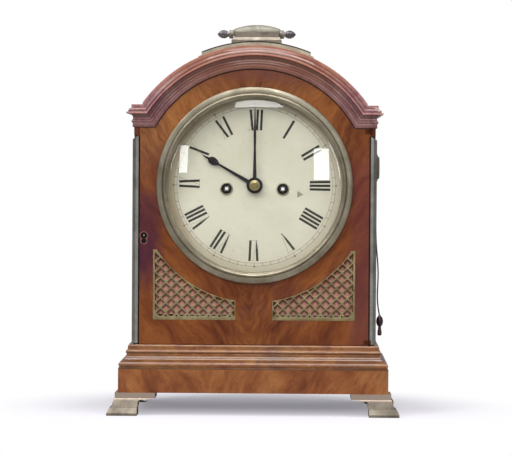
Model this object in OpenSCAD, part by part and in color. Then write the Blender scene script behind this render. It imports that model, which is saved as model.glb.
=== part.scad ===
// Arched mahogany bracket clock with a twin-fusee, rack-striking movement and pull repeat.
// +Z is up, the dial faces -Y, and the origin is on the floor in the middle of the feet.

/* [Case] */
// Width of the case body across its brass corners
body_w = 266.6; // [262:0.2:330]
// Depth of the case body from the door's face to its back
body_d = 178; // [145:1:240]
// Height of the body from the base moulding to the cornice
body_h = 236.9; // [230:0.1:290]
// Thickness of the side boards
wall_t = 10; // [8:0.5:14]
// Thickness of the front door
door_t = 14; // [12:0.5:18]
// Thickness of the rear door
rear_t = 12; // [10:0.5:16]

/* [Base] */
// Height of the brass feet
foot_h = 24.4; // [18:0.2:36]
// Side of a foot's square pad
foot_pad = 33; // [28:0.5:40]
// How far a foot stands out past the plinth
foot_out = 11.9; // [8:0.1:14]
// Height of the plinth
plinth_h = 25.6; // [18:0.2:40]
// How far the plinth stands out past the body
plinth_out = 13.6; // [13:0.1:16]

/* [Arch] */
// From the body's side in to the foot of the arch's opening
shoulder_w = 24.3; // [20:0.1:28]
// How much less than half the body's width the arch's opening radius is
arch_inset = 8.5; // [7:0.1:12]
// Width of the band of moulding round the arch
arch_band = 25.6; // [22:0.1:30]

/* [Dial] */
// Outer radius of the bezel
bezel_r = 107.1; // [105:0.1:114]
// Radius of the dial that shows through the glass
sight_r = 95; // [92:0.5:96]
// How far the dial's centre lies under the centre of the arch
dial_drop = 2.1; // [0:0.1:5]
// Height of the glass dome
glass_rise = 9; // [6:0.5:12]
// Height of the dial's own dome
dial_rise = 3; // [1:0.5:4]
// Length of the minute hand
minute_len = 87.7; // [75:0.1:90]
// Length of the hour hand
hour_len = 66.8; // [50:0.1:72]

/* [Frets] */
// Distance between the scales of a fret
scale_pitch = 11.7; // [9:0.1:16]
// Height of one row of scales
scale_row = 5.56; // [5:0.01:7]
// Width of a brass line in a fret
scale_line = 1.6; // [1.2:0.1:2]
// Width of a fret's plain border
fret_border = 3; // [2:0.1:5]

/* [Handle] */
// From the middle of the handle to the middle of a bail arm
bail_half = 28.3; // [26:0.1:34]
// From the pivot pins to the middle of the grip
bail_reach = 46; // [42:0.5:52]
// Largest radius of the grip
grip_r = 9; // [7:0.1:9.5]

/* [Movement] */
// Distance between the two plates
plate_gap = 48; // [46:1:60]
// Thickness of a plate
plate_t = 3; // [2.5:0.1:4]
// Half the width of the plates
plate_half = 70; // [68:0.5:80]
// Sideways distance of a winding square from the dial's centre
square_x = 30.7; // [30:0.1:33]
// How far the winding squares lie under the dial's centre
square_drop = 3.7; // [2:0.1:6]
// Outer radius of a spring barrel
barrel_r = 24; // [20:0.5:25]
// Radius of a shaft between the plates
shaft_r = 1.6; // [1.2:0.1:2]
// Play between a turning piece and its bearing, on the radius
play = 0.08; // [0.06:0.01:0.1]
// Height of the bob's centre over the floor of the case
bob_floor = 27; // [26.5:0.5:60]

/* [Bell and repeat] */
// Radius of the bell's mouth
bell_r = 46; // [38:0.5:48]
// Height of the bell
bell_h = 30; // [24:0.5:34]
// Diameter of the repeat cord
cord_d = 1.5; // [1.2:0.1:2]

/* [Hidden] */
$fn = 48;

// Heights
z_mould = foot_h + plinth_h;
mould_h = 26.4;
z_body = z_mould + mould_h;
z_cornice = z_body + body_h;
cornice_h = 24.7;
z_top = z_cornice + cornice_h;

// Plan
hw = body_w / 2;
strip_w = 6.7;
strip_proud = 1.7;
wood_hw = hw - strip_proud;
in_hw = wood_hw - wall_t;
gap = 0.4;
yf = -(body_d + plinth_out + 2 * foot_out) / 2 + plinth_out + foot_out;
yb = yf + body_d;
ym = (yf + yb) / 2;
door_hw = hw - strip_w - gap;
rear_hw = in_hw - 8;
rear_gap = 0.8;
floor_t = 10;

// Arch
arch_half = hw - shoulder_w;
arch_r = hw - arch_inset;
z_arch = z_cornice - sqrt(arch_r * arch_r - arch_half * arch_half);
roof_r = arch_r + arch_band - 0.8;
dial_z = z_arch - dial_drop;
mitre_x = sqrt(pow(arch_r + arch_band, 2) - pow(z_top - z_arch, 2));
beyond = 400;

// Depths of the movement
dial_y = yf + door_t + 1.5;
dial_r = sight_r + 6;
dial_t = 2;
fp0 = yf + door_t + 26;
fp1 = fp0 + plate_t;
bp0 = fp1 + plate_gap;
bp1 = bp0 + plate_t;
plate_z0 = dial_z - 88;
plate_z1 = dial_z + 85;
y_mid = (fp1 + bp0) / 2;

// Wheels: a wheel's teeth and a pinion's leaves, as shares of the module and of the pitch
WHEEL = [0.9, 1.2, 0.30, 0.20, 0.06];
LEAF = [0.45, 1.6, 0.10, 0.15, 0.05];
great_n = 96;
strike_n = 84;
centre_n = 84;
third_n = 77;
pin_n = 64;
gather_n = 56;
warn_n = 49;
motion_n = 40;
hour_n = 72;

function polar(p, r, a) = [p[0] + r * cos(a), p[1] + r * sin(a)];
function bearing(a, b) = atan2(b[1] - a[1], b[0] - a[0]);
function apart(a, b) = norm(b - a);
function arc(c, r, a0, a1, n) = [for (i = [0 : n]) polar(c, r, a0 + (a1 - a0) * i / n)];

// Where the shafts stand, as [x, z]
C = [0, dial_z];
GF = [square_x, dial_z - square_drop];
SF = [-square_x, dial_z - square_drop];
barrel_drop = 55;
barrel_side = 7.8;
GB = [square_x + barrel_side, GF[1] - barrel_drop];
SB = [-square_x - barrel_side, SF[1] - barrel_drop];
great_m = 2 * apart(C, GF) / (great_n + 8);
centre_m = 0.46;
third_m = 0.42;
escape_z = 36;
third_d = (centre_n + 7) * centre_m / 2;
escape_d = (third_n + 7) * third_m / 2;
third_up = (third_d * third_d - escape_d * escape_d + escape_z * escape_z) / (2 * escape_z);
T = [-sqrt(third_d * third_d - third_up * third_up), dial_z + third_up];
E = [0, dial_z + escape_z];
escape_r = 15.5;
escape_teeth = 30;
A = [0, E[1] + escape_r * sqrt(2)];
strike_m = 0.6;
pin_m = 0.5;
gather_m = 0.45;
warn_m = 0.42;
PW = polar(SF, (strike_n + 8) * strike_m / 2, 110);
GW = polar(PW, (pin_n + 8) * pin_m / 2, 60);
WW = polar(GW, (gather_n + 7) * gather_m / 2, 100);
FL = polar(WW, (warn_n + 7) * warn_m / 2, 60);
motion_m = 0.55;
motion_d = motion_n * motion_m;
hour_m = 2 * motion_d / (hour_n + 6);
M = polar(C, motion_d, -60);
HA = [-56, dial_z + 62];
K = [-52, dial_z - 24.4];
H = [-62, dial_z + 49.6];
P = [62, dial_z - 35.4];

// Colours
WOOD = [0.50, 0.25, 0.12];
BRASS = [0.66, 0.58, 0.40];
STEEL = [0.35, 0.36, 0.40];
BLUED = [0.10, 0.10, 0.16];
SILK = [0.80, 0.56, 0.48];

// Children drawn in the front view, as x and z, made solid from y0 to y1
module at_y(y0, y1) {
    translate([0, y1, 0]) rotate([90, 0, 0]) linear_extrude(y1 - y0) children();
}

// Children drawn in the side view, as y and z, made solid from x0 to x1
module at_x(x0, x1) {
    translate([x0, 0, 0]) rotate([90, 0, 90]) linear_extrude(x1 - x0) children();
}

// A profile of radius and distance towards the front, turned about a line through p along Y
module turned(p) {
    translate([p[0], 0, p[1]]) rotate([90, 0, 0]) rotate_extrude() children();
}

module box(a, b) {
    translate(a) cube(b - a);
}

// A shaft along Y
module rod_y(p, r, y0, y1) {
    translate([p[0], y1, p[1]]) rotate([90, 0, 0]) cylinder(h = y1 - y0, r = r);
}

module rod_x(y, z, r, x0, x1) {
    translate([x0, y, z]) rotate([0, 90, 0]) cylinder(h = x1 - x0, r = r);
}

module mirrored() {
    children();
    mirror([1, 0, 0]) children();
}

// A bar with round ends, drawn flat
module link2d(a, b, w) {
    translate(a) rotate(bearing(a, b)) translate([0, -0.48 * w]) square([apart(a, b), 0.96 * w]);
    translate(a) circle(w / 2);
    translate(b) circle(w / 2);
}

module link_bar(a, b, w) {
    translate(a) rotate(bearing(a, b)) translate([-1, -w / 2]) square([apart(a, b) + 2, w]);
}

// Points of a toothed outline with n teeth of module m, the first one centred on angle aim
function toothed(n, m, shape, aim) = [
    for (i = [0 : n - 1], k = [[-1, 2, -1], [-1, 3, 0], [-1, 4, 1], [1, 4, 1], [1, 3, 0], [1, 2, -1]])
        let (r = n * m / 2 + (k[2] < 0 ? -shape[1] * m : k[2] * shape[0] * m))
        let (a = aim + (i + k[0] * shape[k[1]]) * 360 / n)
        [r * cos(a), r * sin(a)]
];

// A crossed-out wheel at p, from y0, with its tooth on the line to q
module wheel(p, q, n, m, y0, t, hub) {
    r = n * m / 2 - 1.2 * m;
    rim = r - 2.2;
    at_y(y0, y0 + t) translate(p) difference() {
        polygon(toothed(n, m, WHEEL, bearing(p, q)));
        difference() {
            circle(rim);
            circle(hub);
            for (a = [0, 90]) rotate(a + 20) square([3 * rim, 2.6], center = true);
        }
    }
}

// A pinion at p whose gap is on the line to q
module pinion(p, q, n, m, y0, y1) {
    at_y(y0, y1) translate(p) polygon(toothed(n, m, LEAF, bearing(p, q) + 180 / n));
}

// A thin shaft that runs in both plates
pivot_r = 0.9;
gather_r = 1.2;
module shaft(p) rod_y(p, pivot_r, fp0, bp1);

// ---- Case ----

// Plan of the right side board: a thin tongue beside the door, and a lip for the rear door
module side_board() {
    difference() {
        translate([0, 0, z_body]) linear_extrude(body_h) polygon([
            [door_hw + gap, yf], [wood_hw, yf], [wood_hw, yb], [rear_hw + rear_gap, yb],
            [rear_hw + rear_gap, yb - rear_t], [in_hw, yb - rear_t],
            [in_hw, yf + door_t + gap], [door_hw + gap, yf + door_t + gap]]);
        box([0, yf - 1, z_body], [beyond, yf + strip_w, z_body + strip_top]);
        at_x(in_hw - 1, wood_hw + 1) side_window(-fret_border);
        at_x(wood_hw - fret_seat, wood_hw + 1) side_window(0.1);
    }
}
strip_top = body_h - 9;
fret_t = 1.6;
silk_t = 0.5;
fret_seat = 2.6;

// The arched outline of a side fret, larger by grow
module side_window(grow) {
    w = 32 + grow;
    top = dial_z + 6;
    low = dial_z - 82 - grow;
    translate([ym + 22, top]) circle(w);
    translate([ym + 22 - w, low]) square([2 * w, top - low]);
}

cord_y = fp0 - 10.4;
boss_z = dial_z + 20.1;
hole_z = dial_z + 11.6;
lock_z = dial_z - 56.4;
lock_half = 14;
module side_boards() color(WOOD) {
    difference() {
        side_board();
        rod_x(cord_y, hole_z, cord_d, in_hw - 1, wood_hw + 1);
    }
    difference() {
        mirror([1, 0, 0]) side_board();
        box([-door_hw - 4.2, yf + 7.7, lock_z - 4.6], [-door_hw, yf + 11.3, lock_z + 4.6]);
    }
}

// Everything inside radius r of the arch, and the shoulders under it
module arch2d(r) {
    intersection() {
        union() {
            translate([0, z_arch]) circle(r);
            translate([-wood_hw, z_cornice]) square([2 * wood_hw, cornice_h]);
        }
        translate([-wood_hw, z_cornice]) square([2 * wood_hw, beyond]);
    }
}

module arch_ring(r, y0, y1) {
    at_y(y0, y1) difference() {
        arch2d(roof_r);
        translate([0, z_arch]) circle(r);
    }
}

module arch_top() color(WOOD) {
    arch_ring(arch_r, yf, yf + door_t);
    arch_ring(rear_hw + rear_gap, yb - rear_t, yb);
    at_y(yf + door_t, yb - rear_t) difference() {
        arch2d(roof_r);
        intersection() {
            translate([0, z_arch]) circle(roof_r - wall_t);
            translate([-in_hw, 0]) square([2 * in_hw, 2 * beyond]);
        }
    }
}

module base_board() color(WOOD) {
    box([-wood_hw, yf + strip_proud, z_body - floor_t], [wood_hw, yb, z_body]);
    box([-rear_hw, yb - rear_t, z_body], [rear_hw, yb, z_body + sill_h]);
}
sill_h = 5;

// Profile of the base moulding: out from the brass corners, and up from the plinth
module base_profile() {
    polygon(concat(
        [[-14, 0], [plinth_out, 0], [plinth_out, 1.2], [12.2, 1.6], [12.2, 2.4]],
        arc([10.4, 4.9], 2.9, -50, 72, 10),
        arc([11.6, 15.2], 6.6, 256, 180, 12),
        [[5, 16.4]],
        arc([3.7, 18.4], 2.1, -58, 66, 10),
        [[3.6, 20.8], [3.6, 24.2]],
        arc([1.7, 24.4], 1.9, 0, 80, 6),
        [[0, mould_h], [-strip_proud, mould_h], [-strip_proud, mould_h - floor_t],
         [-14, mould_h - floor_t]]));
}

// Profile of the cornice: out from the wood, and up from the cornice's foot
module cornice_profile() {
    polygon(concat(
        [[0, 0], [1.6, 0], [1.6, 3.9]],
        arc([0.9, 6.4], 2.0, -60, 60, 10),
        [[1.4, 9], [1.4, 10.2]],
        arc([5.9, 10.2], 4.5, 180, 90, 12),
        [[8.2, 14.7], [8.2, 16.5], [6.3, 16.7]],
        arc([3.1, 17.6], 3.1, 0, 84, 10),
        [[3, 21.4], [3, cornice_h], [0, cornice_h]]));
}

// A front run of a profile at height z, with mitres at x = side
module front_run(side, face, z) {
    intersection() {
        translate([-side - 40, face, z]) rotate([90, 0, 90]) linear_extrude(2 * side + 80)
            mirror([1, 0]) children();
        translate([0, 0, z - 1]) linear_extrude(beyond)
            polygon([[-side + 20, face + 20], [side - 20, face + 20], [side + 40, face - 40],
                [-side - 40, face - 40]]);
    }
}

// The right side's run of a profile, from the mitre to the back
module side_run(side, face, z) {
    intersection() {
        translate([side, yb, z]) rotate([90, 0, 0]) linear_extrude(body_d + 60) children();
        translate([0, 0, z - 1]) linear_extrude(beyond)
            polygon([[side - 20, face + 20], [side + 40, face - 40], [side + 40, yb], [side - 20, yb]]);
    }
}

module base_moulding() color(WOOD) {
    front_run(hw, yf, z_mould) base_profile();
    mirrored() side_run(hw, yf, z_mould) base_profile();
    box([-hw + 13, yb - 14, z_mould], [hw - 13, yb, z_mould + mould_h - floor_t]);
}

module plinth() color(WOOD) {
    out = hw + plinth_out;
    difference() {
        box([-out, yf - plinth_out, foot_h], [out, yb, z_mould]);
        box([-out + 28, yf - plinth_out + 28, foot_h - 1], [out - 28, yb - 28, z_mould + 1]);
    }
}

// Outline of a foot seen from the front, from its outer edge inwards
module foot2d() {
    wing = foot_pad + 19.4;
    difference() {
        polygon(concat(
            [[0, 0], [foot_pad, 0], [foot_pad, 8.7], [foot_pad + 0.7, 9.5], [foot_pad + 0.7, 13.5]],
            arc([foot_pad + 4.2, 13.5], 3.5, 168, 105, 6),
            arc([foot_pad + 8.5, 17.7], 1.9, 200, 340, 8),
            [[foot_pad + 11, 18.1], [wing, 18.4], [wing, foot_h], [8.6, foot_h], [8.6, 18.5],
            [7.9, 17.8], [5, 8.9], [3.3, 8.7], [0, 2.8]]));
    }
}

module foot() {
    x0 = -hw - plinth_out - foot_out;
    y0 = yf - plinth_out - foot_out;
    intersection() {
        translate([x0, y0, 0]) rotate([90, 0, 0]) mirror([0, 0, 1]) linear_extrude(foot_pad + 19.4)
            foot2d();
        translate([x0, y0, 0]) rotate([90, 0, 90]) linear_extrude(foot_pad + 19.4) foot2d();
    }
}

module feet() color(BRASS) {
    mirrored() {
        foot();
        translate([0, 2 * (yf - plinth_out - foot_out) + body_d + plinth_out + 2 * foot_out, 0])
            mirror([0, 1, 0]) foot();
    }
}

// The bands of the cornice on the shoulders meet the arch's band along one mitre line
module cornice() color(WOOD) {
    right = [[arch_half, z_cornice], [mitre_x, z_top], [beyond, z_top + 1], [beyond, z_cornice - 1]];
    mirrored() {
        intersection() {
            front_run(wood_hw, yf, z_cornice) cornice_profile();
            at_y(yf - 20, yf + 20) polygon(right);
        }
        side_run(wood_hw, yf, z_cornice) cornice_profile();
    }
    intersection() {
        turned([0, z_arch]) translate([arch_r, -yf]) rotate(90) mirror([0, 1]) arch_profile();
        at_y(yf - 20, yf + 20) polygon([[-arch_half, z_cornice], [arch_half, z_cornice],
            [mitre_x, z_top], [mitre_x, z_top + beyond], [-mitre_x, z_top + beyond], [-mitre_x, z_top]]);
    }
}

// The cornice's profile, ending in a band a little wider than the shoulders' one
module arch_profile() {
    cornice_profile();
    translate([0, cornice_h - 1]) square([3, arch_band - cornice_h + 1]);
}

module corner_strips() color(BRASS) {
    inner = hw - strip_w;
    mirrored() difference() {
        translate([0, 0, z_body + 1.2]) linear_extrude(strip_top - 1.4)
            polygon([[inner, yf], [inner + 3.1, yf], [hw, yf + 3.6], [hw, yf + strip_w - 0.1],
                [inner, yf + strip_w - 0.1]]);
        translate([inner, 0, z_body + strip_top - 0.2]) rotate([0, 30, 0])
            box([-20, yf - 1, 0], [20, yf + 20, 20]);
    }
}

// ---- Handle ----

saddle_a = 4.6;
saddle_b = 8.2;
block_half = 24.9;
pin_z = z_arch + roof_r + 17.2;
eye_r = 4.8;
eye_t = 4.4;
pin_r = 1.6;
module saddle_plate() color(BRASS) {
    difference() {
        union() {
            at_y(ym - 38, ym + 38) intersection() {
                translate([0, z_arch]) circle(roof_r + saddle_a, $fn = 300);
                translate([-64, z_arch]) square([128, beyond]);
            }
            at_y(ym - 34, ym + 34) intersection() {
                translate([0, z_arch]) circle(roof_r + saddle_b, $fn = 300);
                translate([-60.5, z_arch]) square([121, beyond]);
            }
        }
        rod_y([0, z_arch], roof_r + 0.05, ym - 42, ym + 42, $fn = 300);
    }
}

module handle_block() color(BRASS) {
    difference() {
        union() {
            box([-block_half - 3.1, ym - 12, pin_z - 16], [block_half + 3.1, ym + 12, pin_z - 6.6]);
            hull() {
                box([-block_half - 3.1, ym - 12, pin_z - 7], [block_half + 3.1, ym + 12, pin_z - 6.6]);
                box([-block_half - 0.6, ym - 9.3, pin_z - 4], [block_half + 0.6, ym + 9.3, pin_z - 3.6]);
            }
            box([-block_half, ym - 8.5, pin_z - 4], [block_half, ym + 8.5, pin_z + 2.5]);
        }
        rod_y([0, z_arch], roof_r + saddle_b + 0.05, ym - 40, ym + 40, $fn = 300);
        rod_x(ym, pin_z, pin_r + 0.02, -50, 50);
        mirrored() box([block_half + 0.3, ym - 5.3, pin_z - 5.3], [block_half + 9, ym + 5.3, pin_z + 5.3]);
    }
}

module handle_bail() color(BRASS) {
    y1 = ym + bail_reach;
    bend = 6;
    rise = 4;
    r = 2.2;
    difference() {
        mirrored() {
            rod_x(ym, pin_z, eye_r, bail_half - eye_t / 2, bail_half + eye_t / 2);
            translate([bail_half, ym, pin_z])
                rotate([-90 + atan2(rise, bail_reach - bend), 0, 0]) cylinder(h = bail_reach - bend, r = r);
            translate([bail_half, y1 - bend, pin_z + rise]) sphere(r + 0.25);
            translate([bail_half - bend, y1 - bend, pin_z + rise])
                rotate_extrude(angle = 90) translate([bend, 0]) circle(r);
        }
        mirrored() rod_x(ym, pin_z, pin_r + play, 20, 40);
    }
    n = 16;
    half = bail_half - 3.3;
    translate([0, y1, pin_z + rise]) rotate([0, 90, 0]) rotate_extrude()
        polygon(concat([[0, -half - 3], [r + 0.5, -half - 2.6]], [for (i = [-n : n]) let (u = i / n)
            [grip_r - 4.2 * pow(abs(u), 2.2), half * u]], [[r + 0.5, half + 2.6], [0, half + 3]]));
}

// Each finial has its pin in the block and holds one eye of the bail
module handle_finials() color(BRASS) {
    x0 = bail_half + eye_t / 2 + 0.2;
    mirrored() translate([0, ym, pin_z]) rotate([0, 90, 0]) rotate_extrude()
        polygon(concat(
            [[0, 14], [pin_r, 14], [pin_r, x0], [3.4, x0], [3.4, x0 + 0.8], [2.1, x0 + 1.6]],
            arc([0, x0 + 5.6], 4.2, -60, 60, 12),
            [[0.8, x0 + 11.2], [0, x0 + 11.8]]));
}

// ---- Front door ----

axis_x = door_hw + gap / 2;
axis_y = yf - 1.6;
eye_out = 1.5;
eye_bore = 0.9;
wire_r = 0.8;
fret_out = bezel_r + 20.4;
fret_in = 20;
fret_side = door_hw - 16;
fret_low = dial_z - 147;
hole_r = sight_r + 4;

// Outline of the right front fret, larger by grow
module front_fret2d(grow) {
    difference() {
        translate([fret_in - grow, fret_low - grow])
            square([fret_side - fret_in + 2 * grow, 76.5 + grow]);
        translate([0, dial_z]) circle(fret_out - grow);
    }
}

module door2d() {
    low = z_body + gap;
    translate([-door_hw + gap, low]) square([2 * door_hw - gap, z_cornice - gap - low]);
    intersection() {
        translate([0, z_arch]) circle(arch_r - 2 * gap);
        translate([-arch_r, z_cornice - 1]) square([2 * arch_r, beyond]);
    }
}

module eye_tongue(z, grow) {
    box([axis_x - 6 - grow, yf - 1, z - grow],
        [axis_x - (grow > 0 ? -1 : 0.3), yf + 3 + grow, z + 4 + grow]);
}

eye_low = z_body + 1.6;
eye_high = z_cornice - 5.6;
key_x = -door_hw + 5.4;
module door_frame() color(WOOD) {
    difference() {
        at_y(yf, yf + door_t) difference() {
            door2d();
            translate([0, dial_z]) circle(hole_r);
            mirrored() front_fret2d(-fret_border);
        }
        at_y(yf - 1, yf + fret_seat + 0.2) mirrored() front_fret2d(0.1);
        box([-door_hw - 1, yf + 4.1, lock_z - lock_half - 0.1],
            [-door_hw + 20.1, yf + door_t + 1, lock_z + lock_half + 0.1]);
        rod_y([key_x, lock_z + 1], 2.8, yf - 1, yf + 6);
        box([key_x - 1.5, yf - 1, lock_z - 6.8], [key_x + 1.5, yf + 6, lock_z]);
        for (z = [eye_low, eye_high]) eye_tongue(z, 0.1);
    }
}

module bezel() color(BRASS) {
    h = -yf;
    lip = sight_r + 1.9;
    turned([0, dial_z]) polygon(concat(
        [[hole_r - 0.2, h - 8], [hole_r - 0.2, h], [bezel_r, h], [bezel_r, h + 1]],
        arc([bezel_r - 5.1, h + 1], 5.1, 0, 180, 18),
        [[lip - 1, h + 1.8], [sight_r, h - 0.6], [sight_r, h - 1.4], [lip + 0.2, h - 1.4],
         [lip + 0.2, h - 4.2], [sight_r + 0.6, h - 4.2], [sight_r + 0.6, h - 8]]));
}

// Convex glass with a flat rim that sits in the bezel's groove
module dial_glass() color([0.8, 0.9, 0.9, 0.3]) {
    r = sight_r - 0.4;
    h = -yf - 1.7;
    t = 2;
    big = (r * r + glass_rise * glass_rise) / (2 * glass_rise);
    sweep = asin(r / big);
    turned([0, dial_z]) polygon(concat(
        [[0, h + glass_rise - t]],
        arc([0, h + glass_rise - big], big - t, 90, 90 - sweep * 0.98, 14),
        [[r - 0.6, h - t], [sight_r + 1.7, h - t], [sight_r + 1.7, h]],
        arc([0, h + glass_rise - big], big, 90 - sweep, 90, 14)));
}

// One opening between the brass scales: round at its foot, with two hollow shoulders to a point
open_r = scale_pitch / 2 - scale_line / 2;
line_r = scale_pitch / 2 + scale_line / 2;
function opening(c) =
    let (l = polar(c, 1, 180), peak = scale_row - sqrt(line_r * line_r - pow(scale_pitch / 2, 2)))
    let (a = meet_angle())
    concat(arc(c, open_r, 180 + a, 360 - a, 8),
        arc([c[0] + scale_pitch / 2, c[1] + scale_row], line_r, meet_out(), top_out(), 3),
        arc([c[0] - scale_pitch / 2, c[1] + scale_row], line_r, 180 - top_out(), 180 - meet_out(), 3));

// Angle under the level line at which the foot's arc meets the shoulders' arcs
function meet_angle() =
    let (d = norm([scale_pitch / 2, scale_row]))
    let (b = acos((open_r * open_r + d * d - line_r * line_r) / (2 * open_r * d)))
    b - atan2(scale_row, scale_pitch / 2);
function meet_out() =
    let (a = -meet_angle(), p = [open_r * cos(a), open_r * sin(a)])
    atan2(p[1] - scale_row, p[0] - scale_pitch / 2) + 360;
function top_out() =
    180 + acos((scale_pitch / 2) / line_r);

// Openings in staggered rows over the box from a to b, each centre kept where keep says
module openings(a, b) {
    rows = floor((b[1] - a[1]) / scale_row);
    cols = floor((b[0] - a[0]) / scale_pitch) + 1;
    for (j = [0 : rows], i = [0 : cols]) {
        c = [a[0] + (i + (j % 2) / 2) * scale_pitch, a[1] + j * scale_row];
        if (c[0] < b[0]) polygon(opening(c));
    }
}

module front_fret() {
    at_y(yf + 0.4, yf + 0.4 + fret_t) difference() {
        front_fret2d(0);
        intersection() {
            front_fret2d(-fret_border);
            openings([fret_in, fret_low + fret_border + 5], [fret_side, dial_z - 66]);
        }
    }
}

module front_frets() color(BRASS) mirrored() front_fret();

module front_silks() color(SILK) mirrored()
    at_y(yf + 0.4 + fret_t, yf + 0.4 + fret_t + silk_t) front_fret2d(-0.2);

// The lock's case in the left stile, and the two hinge eyes on the right edge
module door_fittings() color(BRASS) {
    difference() {
        box([-door_hw + 0.5, yf + 4.2, lock_z - lock_half],
            [-door_hw + 20, yf + door_t, lock_z + lock_half]);
        box([-door_hw - 1, yf + 8, lock_z - 4.3], [-door_hw + 16.3, yf + 11, lock_z + 4.3]);
        rod_y([key_x, lock_z + 1], 1.6, yf + 4, yf + 7);
    }
    for (z = [eye_low, eye_high]) difference() {
        union() {
            eye_tongue(z, 0);
            translate([axis_x, axis_y, z]) cylinder(h = 4, r = eye_out);
        }
        translate([axis_x, axis_y, z - 1]) cylinder(h = 6, r = eye_bore);
    }
}

module lock_bolt() color(STEEL)
    box([-door_hw + 0.6, yf + 8.1, lock_z - 4.2], [-door_hw + 12, yf + 10.9, lock_z + 4.2]);

// Pins of both doors: each stands in a small round foot on the case
rear_axis = [-rear_hw - gap / 2, yb + 1.6];
rear_low = z_body + sill_h + 6;
rear_high = z_arch - 22;
module hinge_pin(x, y, z, up) {
    translate([x, y, z]) mirror([0, 0, up ? 0 : 1]) {
        cylinder(h = 1, r = eye_out);
        cylinder(h = 6.2, r = wire_r);
    }
}

module hinge_pins() color(BRASS) {
    hinge_pin(axis_x, axis_y, z_body, true);
    hinge_pin(axis_x, axis_y, z_cornice, false);
    for (z = [rear_low, rear_high]) {
        hinge_pin(rear_axis[0], rear_axis[1], z - 1.6, true);
        box([rear_axis[0] - 7, yb, z - 1.6], [rear_axis[0] - 0.9, yb + 1.2, z - 0.4]);
    }
}

side_scale = 1.6;
module side_frets() color(BRASS) mirrored()
    at_x(wood_hw - 0.4 - fret_t, wood_hw - 0.4) difference() {
        side_window(0);
        intersection() {
            side_window(-fret_border);
            scale(side_scale)
                openings([ym - 20, dial_z - 76] / side_scale, [ym + 60, dial_z + 44] / side_scale);
        }
    }

module side_silks() color(SILK) mirrored()
    at_x(wood_hw - 0.4 - fret_t - silk_t, wood_hw - 0.4 - fret_t) side_window(-0.2);

// ---- Rear door ----

module rear2d(grow) {
    r = rear_hw + grow;
    low = z_body + sill_h + gap - grow;
    translate([-r, low]) square([2 * r, z_arch - low]);
    translate([0, z_arch]) circle(r);
}

latch = [rear_hw - 9, dial_z - 20];
rail = 18;
module rear_door() color(WOOD) {
    difference() {
        at_y(yb - rear_t, yb) difference() {
            rear2d(0);
            rear2d(-rail);
        }
        at_y(yb - rear_t - 1, yb - rear_t + 3) rear2d(-rail + 4.1);
        rod_y(latch, 2.1, yb - rear_t - 1, yb + 1);
        for (z = [rear_low, rear_high])
            box([rear_axis[0] - 1, yb - 3.1, z - 0.1], [rear_axis[0] + 6.1, yb + 1, z + 4.1]);
    }
}

module rear_glass() color([0.8, 0.9, 0.9, 0.3])
    at_y(yb - rear_t + 0.8, yb - rear_t + 2.9) rear2d(-rail + 4);

module rear_hinge_eyes() color(BRASS) {
    for (z = [rear_low, rear_high]) difference() {
        union() {
            box([rear_axis[0] + 0.3, yb - 3, z], [rear_axis[0] + 6, yb + 1.2, z + 4]);
            translate([rear_axis[0], rear_axis[1], z]) cylinder(h = 4, r = eye_out);
        }
        translate([rear_axis[0], rear_axis[1], z - 1]) cylinder(h = 6, r = eye_bore);
    }
}

// A knob outside and a tongue inside that turns behind the side board's lip
module rear_latch() color(BRASS) {
    rod_y(latch, 2, yb - rear_t - 3.4, yb + 4);
    turned(latch) polygon([[0, -yb - 9], [4, -yb - 8.4], [5, -yb - 6], [4, -yb - 3.6], [2, -yb - 2.6],
        [2, -yb - 0.4], [4.4, -yb - 0.2], [0, -yb - 0.2]]);
    at_y(yb - rear_t - 3.4, yb - rear_t - 1.4) link2d(latch, latch + [0, 13], 6);
}

// ---- Dial ----

function dome(r) = -dial_y + dial_rise * (1 - r * r / (dial_r * dial_r));
module dial() color([0.86, 0.84, 0.75]) {
    difference() {
        turned([0, dial_z]) polygon(concat(
            [for (i = [0 : 12]) [dial_r * i / 12, dome(dial_r * i / 12)]],
            [for (i = [12 : -1 : 0]) [dial_r * i / 12, dome(dial_r * i / 12) - dial_t]]));
        rod_y(C, 5, dial_y - 10, dial_y + 5);
        for (p = [GF, SF]) rod_y(p, 5.6, dial_y - 10, dial_y + 5);
    }
    for (p = [[-62, 66], [62, 66], [-56, -74], [56, -74]])
        rod_y(C + p, 2.2, dial_y + dial_t - 0.8, fp0);
}

module dial_grommets() color(BRASS) {
    face = dome(square_x) + 0.5;
    for (p = [GF, SF]) turned(p) polygon([[4.3, face - 3.4], [5.45, face - 3.4], [5.45, face - 0.3],
        [7.1, face - 0.1], [7.1, face + 0.3], [6.2, face + 1], [4.9, face + 1], [4.3, face + 0.5]]);
}

// ---- Movement ----

module seatboard() color(WOOD) {
    y0 = fp0 - 6;
    box([-in_hw + 0.1, y0, plate_z0 - 12], [in_hw - 0.1, bp1 - 1, plate_z0]);
    mirrored() box([in_hw - 12, y0, plate_z0 - 26], [in_hw, bp1 - 1, plate_z0 - 12]);
}

pillar_at = [[-63, -80], [63, -80], [-64, 40], [64, 40], [0, -74]];
module plate(y0, y1) {
    difference() {
        box([-plate_half, y0, plate_z0], [plate_half, y1, plate_z1]);
        for (p = [T, E, PW, WW, FL, HA]) rod_y(p, pivot_r + play, y0 - 1, y1 + 1);
        for (p = [GF, SF, GB, SB]) rod_y(p, 3 + play, y0 - 1, y1 + 1);
        for (p = [C, A]) rod_y(p, shaft_r + play, y0 - 1, y1 + 1);
        rod_y(GW, gather_r + play, y0 - 1, y1 + 1);
    }
}

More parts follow.
